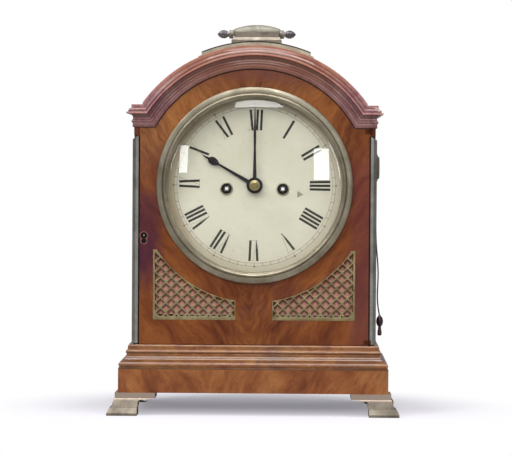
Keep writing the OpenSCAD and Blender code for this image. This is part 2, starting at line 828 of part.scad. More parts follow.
// The front plate carries the studs of the rack, its hook and the repeat lever
module front_plate() color(BRASS) {
    difference() {
        plate(fp0, fp1);
        rod_y(M, pivot_r + play, fp0 - 1, fp1 + 1);
        for (p = pillar_at) rod_y(C + p, 2 + play, fp0 - 1, fp1 + 1);
    }
    for (p = [K, H, P]) {
        rod_y(p, 1.5, fp0 - 12.4, fp0 + 1);
        rod_y(p, 3, fp0 - 9.2, fp0 + 1);
    }
}

// The pillars are riveted to the back plate and pinned in front of the front plate
module back_plate() color(BRASS) {
    plate(bp0, bp1);
    for (p = pillar_at) {
        rod_y(C + p, 4, fp1, bp0 + 1);
        turned(C + p) polygon([[0, -y_mid - 4], [5.2, -y_mid - 2], [5.2, -y_mid + 2], [0, -y_mid + 4]]);
        rod_y(C + p, 2, fp0 - 2, fp1 + 1);
    }
}

// A drum with its spring wound inside; p is its shaft
barrel_y0 = fp1 + 3;
barrel_y1 = fp1 + 35.6;
module barrel(p) {
    wall = 1.6;
    difference() {
        rod_y(p, barrel_r, barrel_y0, barrel_y1);
        rod_y(p, barrel_r - wall, barrel_y0 + 2, barrel_y1 - 2);
        rod_y(p, 4 + play, barrel_y0 - 1, barrel_y1 + 1);
    }
    rod_y_ring(p, barrel_r, barrel_r + 1, barrel_y0, barrel_y0 + 1);
    turns = 7;
    steps = 20 * turns;
    r0 = 6;
    pitch = (barrel_r - wall - 0.2 - 1 - r0) / turns;
    at_y(barrel_y0 + 2.2, barrel_y1 - 2.2) translate(p) polygon(concat(
        [for (i = [0 : steps]) polar([0, 0], r0 + pitch * i / 20, 18 * i)],
        [for (i = [steps : -1 : 0]) polar([0, 0], r0 + 1 + pitch * i / 20, 18 * i)]));
}

module rod_y_ring(p, r0, r1, y0, y1) {
    difference() {
        rod_y(p, r1, y0, y1);
        rod_y(p, r0 - 0.5, y0 - 1, y1 + 1);
    }
}

module going_barrel() color(BRASS) barrel(GB);
module strike_barrel() color(BRASS) barrel(SB);

// Fixed barrel shafts with their ratchet wheels and clicks in front of the front plate
module barrel_arbors() color(STEEL) {
    for (p = [GB, SB]) {
        rod_y(p, 4, fp1 + 0.4, bp0 - 0.4);
        rod_y(p, 3, fp0 - 4, bp1);
        at_y(fp0 - 3, fp0 - 0.5) translate(p) polygon([for (i = [0 : 19], k = [0, 1])
            polar([0, 0], 9 - 1.4 * k, 18 * i + 14 * k)]);
        at_y(fp0 - 6, fp0 - 3) translate(p) square(4.2, center = true);
        side = p[0] > 0 ? 1 : -1;
        at_y(fp0 - 3, fp0 - 0.1) link2d(p + [side * 3, 14.6], p + [side * 13, 12], 3);
    }
}

// A fusee: grooves on a flared cone, its great wheel behind and its winding square in front
fusee_y0 = fp1 + 4;
fusee_turns = 13;
fusee_pitch = 2.3;
function fusee_r(i) = 11.4 + 8 * pow(i / fusee_turns, 1.7);
great_y = fusee_y0 + fusee_turns * fusee_pitch + 2.2;
module fusee(p, n, m, q) {
    base_h = -fusee_y0;
    turned(p) polygon(concat([[0, base_h + 2.6], [fusee_r(0) + 2, base_h + 2.6], [fusee_r(0) + 2, base_h]],
        [for (i = [0 : fusee_turns - 1], k = [0, 1, 2, 3])
            [fusee_r(i) + (k == 0 || k == 3 ? 0.7 : 0),
                base_h - fusee_pitch * (i + [0.08, 0.24, 0.76, 0.92][k])]],
        [[fusee_r(fusee_turns) + 0.8, base_h - fusee_turns * fusee_pitch],
            [0, base_h - fusee_turns * fusee_pitch]]));
    rod_y(p, 6, fusee_y0 + 20, great_y + 4.6);
    wheel(p, q, n, m, great_y, 3, 12);
    rod_y(p, 3, fp0 - 14, bp1);
    at_y(dial_y - dial_rise + 1, fp0 - 13) translate(p) square(4.6, center = true);
}

module going_fusee() color(BRASS) fusee(GF, great_n, great_m, C);
module strike_fusee() color(BRASS) fusee(SF, strike_n, strike_m, PW);

// The gut's turns on a barrel and its fusee, and the straight run between them
gut_r = 0.6;
module gut_line(fus, bar, side) {
    slack = 0.15;
    first = 4;
    rb = barrel_r + gut_r + slack;
    for (i = [0 : 4]) translate([bar[0], barrel_y1 - 6 - 1.5 * i, bar[1]]) rotate([90, 0, 0])
        rotate_extrude() translate([rb, 0]) circle(gut_r);
    for (i = [first : first + 4]) translate([fus[0], fusee_y0 + fusee_pitch * (i + 0.5), fus[1]])
        rotate([90, 0, 0]) rotate_extrude() translate([fusee_r(i) + gut_r + slack, 0]) circle(gut_r);
    rf = fusee_r(first + 4) + gut_r + slack;
    lean = bearing(bar, fus) - side * acos((rb - rf) / apart(bar, fus));
    a = polar(bar, rb, lean);
    b = polar(fus, rf, lean);
    y = barrel_y1 - 12;
    at_y(y - 0.45, y + 0.45) link_bar(a, b, 0.9);
}

module gut_lines() color([0.75, 0.65, 0.45]) {
    gut_line(GF, GB, 1);
    gut_line(SF, SB, -1);
}

// Places between the plates, counted back from the front plate
pin1_y0 = great_y - 1.2;
pin1_y1 = great_y + 4.4;
second_y = bp0 - 5.4;
second_end = bp0 - 3.2;
module centre_wheel() color(BRASS) {
    rod_y(C, shaft_r, dial_y - 10.3, bp1);
    pinion(C, GF, 8, great_m, pin1_y0, pin1_y1);
    wheel(C, T, centre_n, centre_m, second_y, 1.5, 5);
}

module third_wheel() color(BRASS) {
    shaft(T);
    pinion(T, C, 7, centre_m, second_y - 1, second_end);
    wheel(T, E, third_n, third_m, fp1 + 9, 1.5, 5);
}

// Thirty slender teeth; at rest both pallets stand over gaps
module escape_wheel() color(BRASS) {
    shaft(E);
    pinion(E, T, 7, third_m, fp1 + 7.5, fp1 + 12.5);
    step = 360 / escape_teeth;
    at_y(fp1 + 24, fp1 + 25.5) translate(E) difference() {
        polygon([for (i = [0 : escape_teeth - 1], k = [[-2.6, -3], [-0.5, 0], [0.5, 0], [2.6, -3]])
            polar([0, 0], escape_r + k[1], 45 + step / 4 + i * step + k[0])]);
        difference() {
            circle(escape_r - 5);
            circle(4);
            for (a = [0, 90]) rotate(a) square([40, 2], center = true);
        }
    }
}

// The anchor spans the wheel; its arbor runs to the back cock and carries the crutch
cock_y = bp1 + 5;
crutch_y = bp1 + 12.4;
module pallets() color(STEEL) {
    reach = escape_r + 0.14;
    half_nose = 1.7;
    at_y(fp1 + 23.6, fp1 + 25.9) {
        for (s = [-1, 1]) {
            polygon([for (k = [[-half_nose, 0], [half_nose, 0], [half_nose + 2, 5], [-half_nose - 2, 5]])
                polar(E, reach + k[1], 90 + s * (45 + k[0]))]);
            link2d(A, polar(E, reach + 4.2, 90 + s * 45), 3.2);
        }
        translate(A) circle(3.4);
    }
    rod_y(A, shaft_r, fp0 + 0.2, cock_y + 3.6);
    rod_y(A, 3, bp1 + 0.6, bp1 + 2.2);
    crutch_z = 48;
    at_y(bp1 + 0.6, bp1 + 2.2) link2d(A, A - [0, crutch_z], 2.6);
    rod_y(A - [0, crutch_z], 0.9, bp1 + 0.8, crutch_y + 2.6);
}

module back_cock() color(BRASS) {
    top = A[1] + 22;
    difference() {
        union() {
            box([-20, cock_y, A[1] - 8], [20, cock_y + 3, top]);
            mirrored() box([14.5, bp1, A[1] - 4], [20, cock_y + 1, A[1] + 4]);
            box([-6, cock_y, A[1] + 10], [6, crutch_y + 4, top]);
        }
        rod_y(A, shaft_r + play, cock_y - 1, cock_y + 4);
    }
}

// Flat spring, rod and bob, hung under the cock and swung by the crutch's pin
pendulum_len = A[1] - z_body - bob_floor;
bob_r = 22;
module pendulum() {
    low = A[1] - pendulum_len;
    color(STEEL) {
        box([-0.25, crutch_y - 2.5, A[1] - 12], [0.25, crutch_y + 2.5, A[1] + 9.7]);
        difference() {
            union() {
                box([-2.2, crutch_y - 1.5, A[1] - 20], [2.2, crutch_y + 1.5, A[1] - 10]);
                box([-2.6, crutch_y - 1.2, A[1] - 58], [2.6, crutch_y + 1.2, A[1] - 38]);
                rod_z([0, crutch_y], 1.3, low - 26, A[1] - 15);
            }
            box([-1.1, crutch_y - 3, A[1] - 54], [1.1, crutch_y + 3, A[1] - 42]);
        }
    }
    big = (bob_r * bob_r + 25) / 10;
    edge = acos(bob_r / big);
    color(BRASS) turned([0, low]) polygon(concat(arc([0, big - 5.5 - crutch_y], big, -90, -edge, 8),
        arc([0, 5.5 - big - crutch_y], big, edge, 90, 8)));
    color(BRASS) rod_z([0, crutch_y], 3.4, low - 25.4, low - 22.6);
}

module rod_z(p, r, z0, z1) {
    translate([p[0], p[1], z0]) cylinder(h = z1 - z0, r = r);
}

// ---- Motion work and hands ----

motion_y = fp0 - 3.2;
hour_y = fp0 - 7.6;
snail_y = fp0 - 11.2;
pipe_r = 2.9;
hour_face = dial_y - dial_rise - 2.6;
minute_face = hour_face - 2.6;
module cannon_wheel() color(BRASS) {
    difference() {
        union() {
            wheel(C, M, motion_n, motion_m, motion_y, 1.5, 5);
            rod_y(C, pipe_r, minute_face - 1.4, motion_y + 1);
        }
        rod_y(C, shaft_r + play, minute_face - 5, motion_y + 5);
    }
}

module minute_wheel() color(BRASS) {
    at_y(motion_y, motion_y + 1.5) translate(M)
        polygon(toothed(motion_n, motion_m, WHEEL, bearing(M, C) + 180 / motion_n));
    pinion(M, C, 6, hour_m, hour_y - 0.9, motion_y + 0.5);
    rod_y(M, pivot_r, hour_y - 1.4, fp1 - 0.2);
}

// Twelve steps, the deepest for twelve o'clock; the tenth is under the rack's tail
snail_out = 19.1;
snail_step = 0.75;
module hour_wheel() color(BRASS) {
    difference() {
        union() {
            wheel(C, M, hour_n, hour_m, hour_y, 1.5, 6);
            rod_y(C, 4.1, hour_face - 0.8, hour_y + 1);
            at_y(snail_y, snail_y + 1.6) translate(C) polygon([for (i = [0 : 11], k = [0 : 3])
                polar([0, 0], snail_out - snail_step * i,
                    bearing(C, tail_at) + 30 * (i - 9) + 10 * k - 15)]);
        }
        rod_y(C, pipe_r + play, hour_face - 5, hour_y + 5);
    }
}

// The hour hand points to ten: a slender shaft, an egg-shaped swell and a point
function egg(a, y) = [4.2 * sin(a) * (1 - 0.16 * cos(a)), y - 6.4 * cos(a)];
module hour_hand() color(BLUED) {
    swell = 52;
    at_y(hour_face - 0.8, hour_face + 0.2) translate(C) rotate(60) difference() {
        union() {
            circle(7);
            polygon([[-2.2, 4], [2.2, 4], [1.1, swell - 4], [-1.1, swell - 4]]);
            polygon(concat([for (i = [0 : 9]) egg(18 * i, swell)], [[0.3, hour_len], [-0.3, hour_len]],
                [for (i = [11 : 19]) egg(18 * i, swell)]));
        }
        circle(4.2);
    }
}

// The minute hand points to twelve; a brass collet and a cross pin hold it
module minute_hand() {
    color(BLUED) at_y(minute_face - 0.9, minute_face) translate(C) difference() {
        union() {
            circle(8.8);
            polygon([[-1.9, 5], [1.9, 5], [0.9, 40], [1.5, 56], [0.8, 70], [0.25, minute_len],
                [-0.25, minute_len], [-0.8, 70], [-1.5, 56], [-0.9, 40]]);
        }
        circle(pipe_r + 0.05);
    }
    h = -minute_face + 0.9;
    color(BRASS) turned(C) polygon([[pipe_r + 0.05, h], [5.85, h], [5.85, h + 0.9], [3.9, h + 1.5],
        [3.2, h + 2.4], [shaft_r + 0.05, h + 2.4], [shaft_r + 0.05, h + 0.6], [pipe_r + 0.05, h + 0.6]]);
}

// ---- Strike work ----

module pin_wheel() color(BRASS) {
    shaft(PW);
    pinion(PW, SF, 8, strike_m, pin1_y0, pin1_y1 - 1);
    wheel(PW, GW, pin_n, pin_m, second_y, 1.5, 5);
    for (i = [0 : 7]) rod_y(polar(PW, 13.5, 45 * i + 10), 0.6, second_y, second_y + 4);
}

// Its front end carries the gathering pallet under the rack
gather_y = fp1 + 28;
module gathering_wheel() color(BRASS) {
    rod_y(GW, gather_r, rack_y - 0.4, bp1);
    pinion(GW, PW, 8, pin_m, second_y - 1, bp0 - 1.6);
    wheel(GW, WW, gather_n, gather_m, gather_y, 1.5, 4);
    at_y(rack_y, rack_y + 1.4) link2d(GW, GW + [3.2, 0], 2.4);
}

module warning_wheel() color(BRASS) {
    shaft(WW);
    pinion(WW, GW, 7, gather_m, gather_y - 1.5, gather_y + 3);
    wheel(WW, FL, warn_n, warn_m, fp1 + 16, 1.5, 4);
}

module fly() color(BRASS) {
    shaft(FL);
    pinion(FL, WW, 7, warn_m, fp1 + 14, fp1 + 19.5);
    box([FL[0] - 9.4, fp1 + 24, FL[1] - 0.5], [FL[0] + 9.4, fp1 + 44, FL[1] + 0.5]);
    rod_y(FL, 2, fp1 + 23, fp1 + 45);
}

bell_z = plate_z1 + 6;
module hammer() color(STEEL) {
    shaft(HA);
    head_z = bell_z + 5;
    at_y(y_mid - 1.2, y_mid + 1.2) link2d(HA, [HA[0] + 1.5, head_z], 3);
    rod_x(y_mid, head_z, 4.4, HA[0] - 3, -bell_r - 1);
    at_y(bp0 - 3.2, bp0 - 1.8) link2d(HA, polar(PW, 15.9, bearing(PW, HA)), 2.2);
}

// A thin turned bell, its stand from the back plate, and the nut on top
module bell() {
    t = 2;
    n = 12;
    top = bell_z + bell_h;
    color([0.75, 0.68, 0.45]) translate([0, y_mid, bell_z]) rotate_extrude() polygon(concat(
        [for (i = [0 : n]) let (a = 90 * i / n) [2.2 + (bell_r - 2.2) * pow(cos(a), 0.7), bell_h * sin(a)]],
        [for (i = [n : -1 : 0]) let (a = 90 * i / n)
            [2.2 + (bell_r - 2.2 - t) * pow(cos(a), 0.7), (bell_h - t) * sin(a)]]));
    color(BRASS) {
        arm_z = plate_z1 + 1.4;
        box([34, bp1, dial_z + 40], [42, bp1 + 3, arm_z + 3]);
        difference() {
            linear_arm([38, bp1 + 1.5], [0, y_mid], 8, arm_z, 3);
            box([30, bp1 + 3, 0], [60, bp1 + 20, 2 * beyond]);
        }
        rod_z([0, y_mid], 3, arm_z, top - t - 0.1);
        rod_z([0, y_mid], 1.9, arm_z, top + 6);
        difference() {
            translate([0, y_mid, top + 0.2]) cylinder(h = 3.6, r = 5, $fn = 6);
            rod_z([0, y_mid], 1.95, top - 1, top + 8);
        }
    }
}

module linear_arm(a, b, w, z, t) {
    translate([0, 0, z]) linear_extrude(t) link2d(a, b, w);
}

// Rack: a toothed sector over the gathering pallet, and a tail beside the snail
rack_y = fp0 - 11.2;
rack_t = 1.4;
rack_r = apart(K, GW) - 4.8;
tail_at = C + [-15.3, 14.4];
tail_bend = C + [-38, 7.6];
tooth_step = snail_step / apart(K, tail_at) * 180 / PI;
module rack() color(STEEL) {
    a0 = bearing(K, GW) - 1;
    at_y(rack_y, rack_y + rack_t) difference() {
        union() {
            translate(K) polygon(concat(
                [for (i = [0 : 16], k = [0, 1])
                    polar([0, 0], rack_r - 0.9 * k, a0 + tooth_step * (i + 0.8 * k))],
                arc([0, 0], rack_r - 6, a0 + 17 * tooth_step, a0, 8)));
            link2d(K, polar(K, rack_r - 4.5, a0 + 8 * tooth_step), 4.4);
            link2d(K, tail_bend, 3.2);
            link2d(tail_bend, tail_at, 2.4);
            translate(K) circle(4);
        }
        translate(K) circle(1.5 + play);
    }
}

// The hook's beak hangs over the rack's teeth, and its arm runs on to the repeat lever
module rack_hook() color(STEEL) {
    beak = polar(K, rack_r + 2, bearing(K, GW) + 8);
    at_y(rack_y, rack_y + rack_t) difference() {
        union() {
            link2d(H, [beak[0], H[1] - 3], 4);
            link2d([beak[0], H[1] - 3], beak, 2.6);
            link2d([beak[0], H[1] - 3], [8, H[1] - 3.4], 3.4);
            translate(H) circle(4);
        }
        translate(H) circle(1.5 + play);
    }
}

// One arm is pulled by the cord, the other lifts the rack hook
eye_at = [66, hole_z];
module repeat_lever() color(STEEL) {
    at_y(rack_y, rack_y + rack_t) difference() {
        union() {
            link2d(P, eye_at, 4.4);
            link2d(P, [6, H[1] - 8.4], 4);
            translate(P) circle(4);
        }
        translate(P) circle(1.5 + play);
        translate(eye_at) circle(1);
    }
}

// The cord inside runs straight to the lever; outside it hangs against the side.
// Its outer route is a list of points chosen by hand, as how far out from the side, and z
cord_route = [[1.7, 262], [1.6, 248], [1.5, 234], [1.5, 220], [1.6, 208], [1.9, 196], [2.5, 184], [3.4, 174],
    [4.2, 164], [4.6, 154], [4.4, 144], [4.0, 134], [4.1, 125], [5.0, 116], [6.4, 108]];
cord_top = 262;
function swept_ring(p, r) = [for (k = [0 : 7]) [p[0] + r * cos(45 * k), cord_y + r * sin(45 * k), p[1]]];
module repeat_cord() color([0.20, 0.13, 0.14]) {
    rod_x(cord_y, hole_z, cord_d / 2, eye_at[0] + 2.5, wood_hw + 1.8);
    pts = [for (q = cord_route) [wood_hw + q[0], q[1] - cord_top + hole_z]];
    n = len(pts);
    polyhedron(
        points = [for (p = pts) each swept_ring(p, cord_d / 2)],
        faces = concat([[for (k = [7 : -1 : 0]) k]], [[for (k = [0 : 7]) 8 * (n - 1) + k]],
            [for (j = [0 : n - 2], k = [0 : 7])
                [8 * j + (k + 1) % 8, 8 * (j + 1) + (k + 1) % 8, 8 * (j + 1) + k, 8 * j + k]]));
}

bead_z = hole_z - cord_top + 107.96;
module cord_bead() color([0.12, 0.07, 0.12]) {
    x = wood_hw + 6.6;
    translate([x, cord_y, bead_z - 6.2]) rotate_extrude() polygon([for (i = [0 : 16])
        let (a = -90 + 180 * i / 16) [3.8 * cos(a), 6.2 * sin(a)]]);
    translate([x, cord_y, bead_z - 22.1]) rotate_extrude()
        polygon([[0, 0], [1.9, 0.6], [2.3, 3], [1.6, 7], [1.2, 10], [0, 10.4]]);
}

// A turned boss over the cord's hole, with a channel down its back for the cord
boss_t = 5;
boss_r = 16;
module cord_boss() color(BRASS) {
    difference() {
        translate([wood_hw, cord_y, boss_z]) rotate([0, 90, 0]) rotate_extrude()
            polygon([[0, 0], [boss_r, 0], [boss_r, 1.6], [boss_r - 1.4, 3], [boss_r - 3, 3.2],
                [boss_r - 4.6, boss_t], [0, boss_t]]);
        box([wood_hw - 1, cord_y - 1.2, boss_z - 20], [wood_hw + 3.2, cord_y + 1.2, hole_z + 2.4]);
    }
}

side_boards();
arch_top();
base_board();
base_moulding();
plinth();
feet();
cornice();
corner_strips();
saddle_plate();
handle_block();
handle_bail();
handle_finials();
door_frame();
bezel();
dial_glass();
front_frets();
front_silks();
door_fittings();
lock_bolt();
hinge_pins();
side_frets();
side_silks();
rear_door();
rear_glass();
rear_hinge_eyes();
rear_latch();
seatboard();
front_plate();
back_plate();
dial();
dial_grommets();
going_barrel();
strike_barrel();
barrel_arbors();
going_fusee();
strike_fusee();
gut_lines();
centre_wheel();
third_wheel();
escape_wheel();
pallets();
back_cock();
pendulum();
cannon_wheel();
minute_wheel();
hour_wheel();
hour_hand();
minute_hand();
pin_wheel();
gathering_wheel();
warning_wheel();
fly();
hammer();
bell();
rack();
rack_hook();
repeat_lever();
repeat_cord();
cord_bead();
cord_boss();
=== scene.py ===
# %% [markdown]
# # An arched mahogany bracket clock
# This lesson finishes a clock whose solid parts already exist. Each part arrives as a mesh in metres, with
# +Z up and the dial facing -Y. What shows is then dressed: wood, brass, painted dial, silk and glass. Most
# new shapes are surfaces worked out with numpy, because one formula on a grid gives clean, even faces.

# %% Load the frame
import math
import bmesh
import bpy
import numpy as np
from mathutils import Matrix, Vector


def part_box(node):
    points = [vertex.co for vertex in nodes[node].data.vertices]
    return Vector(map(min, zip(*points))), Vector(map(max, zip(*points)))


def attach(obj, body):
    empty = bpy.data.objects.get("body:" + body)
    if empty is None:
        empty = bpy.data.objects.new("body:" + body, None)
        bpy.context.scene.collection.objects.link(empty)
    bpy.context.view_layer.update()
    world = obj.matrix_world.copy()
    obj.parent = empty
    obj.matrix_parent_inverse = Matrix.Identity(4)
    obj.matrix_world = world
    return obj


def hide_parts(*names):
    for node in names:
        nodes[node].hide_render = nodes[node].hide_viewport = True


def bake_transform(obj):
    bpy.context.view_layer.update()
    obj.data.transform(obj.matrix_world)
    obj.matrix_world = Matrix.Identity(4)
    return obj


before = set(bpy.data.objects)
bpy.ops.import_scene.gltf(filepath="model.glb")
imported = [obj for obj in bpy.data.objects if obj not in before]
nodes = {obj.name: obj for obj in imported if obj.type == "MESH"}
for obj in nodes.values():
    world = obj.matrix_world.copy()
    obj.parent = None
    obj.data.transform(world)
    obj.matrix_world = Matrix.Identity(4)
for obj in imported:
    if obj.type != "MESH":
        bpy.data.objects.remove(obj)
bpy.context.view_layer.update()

# %% [markdown]
# ## Sizes
# A case maker works from a few sizes: where the body starts and ends, the circle of the arch, and the
# centre of the dial. They are read from the boxes of the solid parts, so that nothing has to be fitted.
# Millimetres are kinder to read than metres, so every number below is in millimetres until it is drawn.

# %% Sizes that the rest hangs on
MM = 0.001


def box_mm(node):
    """The lowest and highest corner of a solid part, in millimetres."""
    low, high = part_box(node)
    return np.array(low) * 1000, np.array(high) * 1000


wood_low, wood_high = box_mm("side_boards")
half_wood, front_y, back_y = wood_high[0], wood_low[1], wood_high[1]
mid_y = (front_y + back_y) / 2
half_body, _, strip_top = box_mm("corner_strips")[1]
z_mould, mould_h = box_mm("base_moulding")[0][2], 26.4
z_cornice, cornice_h = wood_high[2], 24.7
arch_inner, arch_foot, arch_band = half_body - 8.5, half_body - 24.3, 25.6
z_arch = z_cornice - math.sqrt(arch_inner**2 - arch_foot**2)
dial_z, dial_y = z_arch - 2.1, front_y + 15.5
wind_x, wind_z, bushing_r = 30.7, dial_z - 3.7, 5.6
key_x, key_z = box_mm("door_frame")[0][0] + 5.4, dial_z - 56.4
print("half body", half_body.round(2), "dial centre", round(dial_z, 2), "front", front_y.round(2))

# %% [markdown]
# ## The camera
# A long lens from about three metres keeps the uprights parallel, as in a catalogue picture. The view is
# 512 by 455, and one pixel is 1.09 mm at the clock's face. The roll is a little over a third of a degree,
# because a clock on a table seldom stands dead level in such pictures. The lens is worked out from the
# distance and the width seen. The camera could be aimed by three angles, but its own sides as the columns
# of a matrix are easier to follow.


# %% Helpers that put things in the scene
def linked(name, data):
    """A new object in the scene, made of its data."""
    thing = bpy.data.objects.new(name, data)
    bpy.context.scene.collection.objects.link(thing)
    return thing


def stand(thing, side, top, back, place):
    """Places a camera or a lamp. Its right, its top and its back are the columns of its matrix."""
    turn = np.vstack([np.column_stack([side, top, back, place]), [0, 0, 0, 1]])
    thing.matrix_world = Matrix([[*map(float, row)] for row in turn])


print("scene helpers ready")

# %% Place the camera
seen_width = 512 * 1.09
aim = np.array([1.9, front_y, 204.6])
eye = np.array([45.0, front_y - 3000.0, 262.0])
roll = math.radians(0.38)
camera_data = bpy.data.cameras.new("catalogue_camera")
camera = linked("catalogue_camera", camera_data)
camera_data.sensor_width = 36.0
camera_data.lens = 36.0 * float(np.linalg.norm(aim - eye)) / seen_width
camera_data.clip_end = 50.0
back = (eye - aim) / np.linalg.norm(eye - aim)
right = np.cross([0, 0, 1.0], back)
right /= np.linalg.norm(right)
top = np.cross(back, right)
stand(camera, right * math.cos(roll) + top * math.sin(roll), top * math.cos(roll) - right * math.sin(roll),
      back, eye * MM)
bpy.context.scene.camera = camera
print("lens", round(camera_data.lens, 1), "mm")

# %% [markdown]
# ## From arrays to meshes
# Every new piece starts as an array of points. A surface is a grid: one direction runs along it and the
# other round it. These helpers turn such a grid into a mesh whose faces point outwards. Points on an axis
# fall together, so the doubles there are merged and the pole is closed.


# %% From a grid of points to a piece
def grid_faces(rows, cols, close_rows=False, close_cols=False):
    """Quads of a grid of rows by cols points: each cell joins a point to its right and lower neighbours."""
    i = np.arange(rows if close_rows else rows - 1)
    j = np.arange(cols if close_cols else cols - 1)
    i, j = (a.ravel() for a in np.meshgrid(i, j, indexing="ij"))
    i2, j2 = (i + 1) % rows, (j + 1) % cols
    return np.stack([i * cols + j, i * cols + j2, i2 * cols + j2, i2 * cols + j], axis=1)


def new_piece(name, points, faces, body, finish, smooth=True):
    """A mesh from points in millimetres and faces, riding on a body. Doubles are merged."""
    mesh = bpy.data.meshes.new(name)
    points = np.asarray(points, dtype=float).reshape(-1, 3) * MM
    mesh.from_pydata(points.tolist(), [], [list(map(int, f)) for f in faces])
    shaper = bmesh.new()
    shaper.from_mesh(mesh)
    bmesh.ops.remove_doubles(shaper, verts=shaper.verts, dist=2e-6)
    bmesh.ops.recalc_face_normals(shaper, faces=shaper.faces)
    shaper.to_mesh(mesh)
    shaper.free()
    mesh.polygons.foreach_set("use_smooth", np.full(len(mesh.polygons), bool(smooth)))
    mesh.materials.append(finish)
    piece = linked(name, mesh)
    if body is not None:
        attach(piece, body)
    return piece


def joined(parts):
    """One list of points and one of faces out of several (points, faces) pairs."""
    points, faces, start = [], [], 0
    for p, f in parts:
        p = np.asarray(p, dtype=float).reshape(-1, 3)
        points.append(p)
        faces += [[int(v) + start for v in face] for face in f]
        start += len(p)
    return np.concatenate(points), faces


def vertices_of(mesh):
    """The points of a mesh as rows of x, y and z, in metres."""
    co = np.empty(len(mesh.vertices) * 3)
    mesh.vertices.foreach_get("co", co)
    return co.reshape(-1, 3)


print("grid of 3 by 4 points:", len(grid_faces(3, 4)), "faces")


# %% Outlines
def arc(cx, cy, r, a0, a1, n):
    """Points on a circle about (cx, cy), from angle a0 to a1 in degrees: r cos a across and r sin a up."""
    a = np.radians(np.linspace(a0, a1, n))
    return np.stack([cx + r * np.cos(a), cy + r * np.sin(a)], axis=1)


def circle(x, z, r, n=48):
    """A closed circle of n points."""
    return arc(x, z, r, 0, 360, n + 1)[:-1]


def profile(*parts):
    """Points and arcs, one after another, as one list of points."""
    return np.vstack([np.atleast_2d(np.asarray(p, dtype=float)) for p in parts])


print("a circle of radius 10 is", float(np.ptp(circle(0, 0, 10)[:, 0]).round(2)), "mm wide")


# %% Turned shapes, lofts and blocks
def around_full(segments):
    """Even angles round a circle, as a column."""
    return np.linspace(0, 2 * math.pi, segments, endpoint=False)[:, None]


def turned(line, centre, segments=192):
    """A closed profile of (radius, distance towards the front) carried round a line along Y: a point
    lies radius cos a across and radius sin a up from the centre."""
    line, a = np.asarray(line, dtype=float), around_full(segments)
    x = centre[0] + line[None, :, 0] * np.cos(a)
    z = centre[1] + line[None, :, 0] * np.sin(a)
    y = -line[None, :, 1] + 0 * a
    return np.stack([x, y, z], axis=-1), grid_faces(segments, len(line), True, True)


def turned_x(line, y, z, segments=64):
    """An open profile of (x, radius) that starts and ends on a line along X, carried round it."""
    line, a = np.asarray(line, dtype=float), around_full(segments)
    r = line[None, :, 1]
    points = np.stack([line[None, :, 0] + 0 * a, y + r * np.cos(a), z + r * np.sin(a)], axis=-1)
    return points, grid_faces(segments, len(line), True, False)


def turned_z(line, x, y, z, segments=48, ribs=0, depth=0.0):
    """A profile of (radius, height) carried round an upright line. Ribs raise the radius as cosines."""
    line, a = np.asarray(line, dtype=float), around_full(segments)
    r = line[None, :, 0] * (1 + depth * np.cos(ribs * a))
    points = np.stack([x + r * np.cos(a), y + r * np.sin(a), z + line[None, :, 1] + 0 * a], axis=-1)
    return points, grid_faces(segments, len(line), True, False)


def loft(rings):
    """A closed solid from rows of points: the sides between the rows, and a cap at both ends."""
    rings = np.asarray(rings, dtype=float)
    n, m = rings.shape[:2]
    faces = grid_faces(n, m, False, True).tolist()
    return rings.reshape(-1, 3), faces + [list(range(m))[::-1], list(range((n - 1) * m, n * m))]


def block(low, high):
    """The eight corners and six sides of a block between two corners."""
    corners = [[x, y, z] for x in (low[0], high[0]) for y in (low[1], high[1]) for z in (low[2], high[2])]
    return np.array(corners, dtype=float), [[0, 1, 3, 2], [4, 6, 7, 5], [0, 4, 5, 1], [2, 3, 7, 6],
                                            [0, 2, 6, 4], [1, 5, 7, 3]]


print("a block has", len(block((0, 0, 0), (1, 1, 1))[1]), "faces")


# %% Edges that catch the light
def crisp(piece, width, degrees=32):
    """A narrow rounded edge wherever two faces meet sharply, which catches the light as real edges do."""
    mod = piece.modifiers.new("soft edges", "BEVEL")
    mod.width = width * MM
    mod.segments = 2
    mod.limit_method = "ANGLE"
    mod.angle_limit = math.radians(degrees)
    return piece


def sharp_by_angle(piece, degrees=35):
    """Shading stays smooth over gentle curves and breaks at edges sharper than this."""
    piece.data.set_sharp_from_angle(angle=math.radians(degrees))
    return piece


print("helpers ready")

# %% [markdown]
# ## A short way to write shader nodes
# A procedural finish is a small network of nodes. Writing each node and link by hand takes many lines, so
# one helper adds a node, sets its options and fills its sockets with a number, a colour or another socket.
# The others are the few steps that nearly every finish needs: a sum, a product, a fade and a mix.


# %% Helpers that add nodes
def fill(node, **inputs):
    """Fills sockets. A socket is named by its words with _ for spaces, or by i and its number."""
    for key, value in inputs.items():
        socket = node.inputs[int(key[1:])] if key[1:].isdigit() else node.inputs[key.replace("_", " ")]
        if isinstance(value, bpy.types.NodeSocket):
            node.id_data.links.new(value, socket)
        else:
            socket.default_value = value
    return node


def add(tree, kind, settings=None, **inputs):
    """A node of a kind with its settings, its sockets filled."""
    node = tree.nodes.new("ShaderNode" + kind)
    for key, value in (settings or {}).items():
        setattr(node, key, value)
    return fill(node, **inputs)


print("nodes can be added")


# %% Sums, fades, noise and relief
def maths(tree, operation, a, b=0.0, clamp=False):
    """One sum of two numbers or sockets."""
    return add(tree, "Math", {"operation": operation, "use_clamp": clamp}, i0=a, i1=b).outputs["Value"]


def product(tree, first, *others):
    """All the factors multiplied."""
    for other in others:
        first = maths(tree, "MULTIPLY", first, other)
    return first


def hypot(tree, a, b):
    """The length of a step of a across and b up: the root of a squared plus b squared."""
    return maths(tree, "SQRT", maths(tree, "ADD", product(tree, a, a), product(tree, b, b)))


def span(tree, value, start, end, low=0.0, high=1.0, soft=False):
    """A value from start to end made one from low to high, straight or with soft ends, and held beyond."""
    return add(tree, "MapRange", {"interpolation_type": "SMOOTHSTEP"} if soft else {}, Value=value,
               From_Min=start, From_Max=end, To_Min=low, To_Max=high).outputs[0]


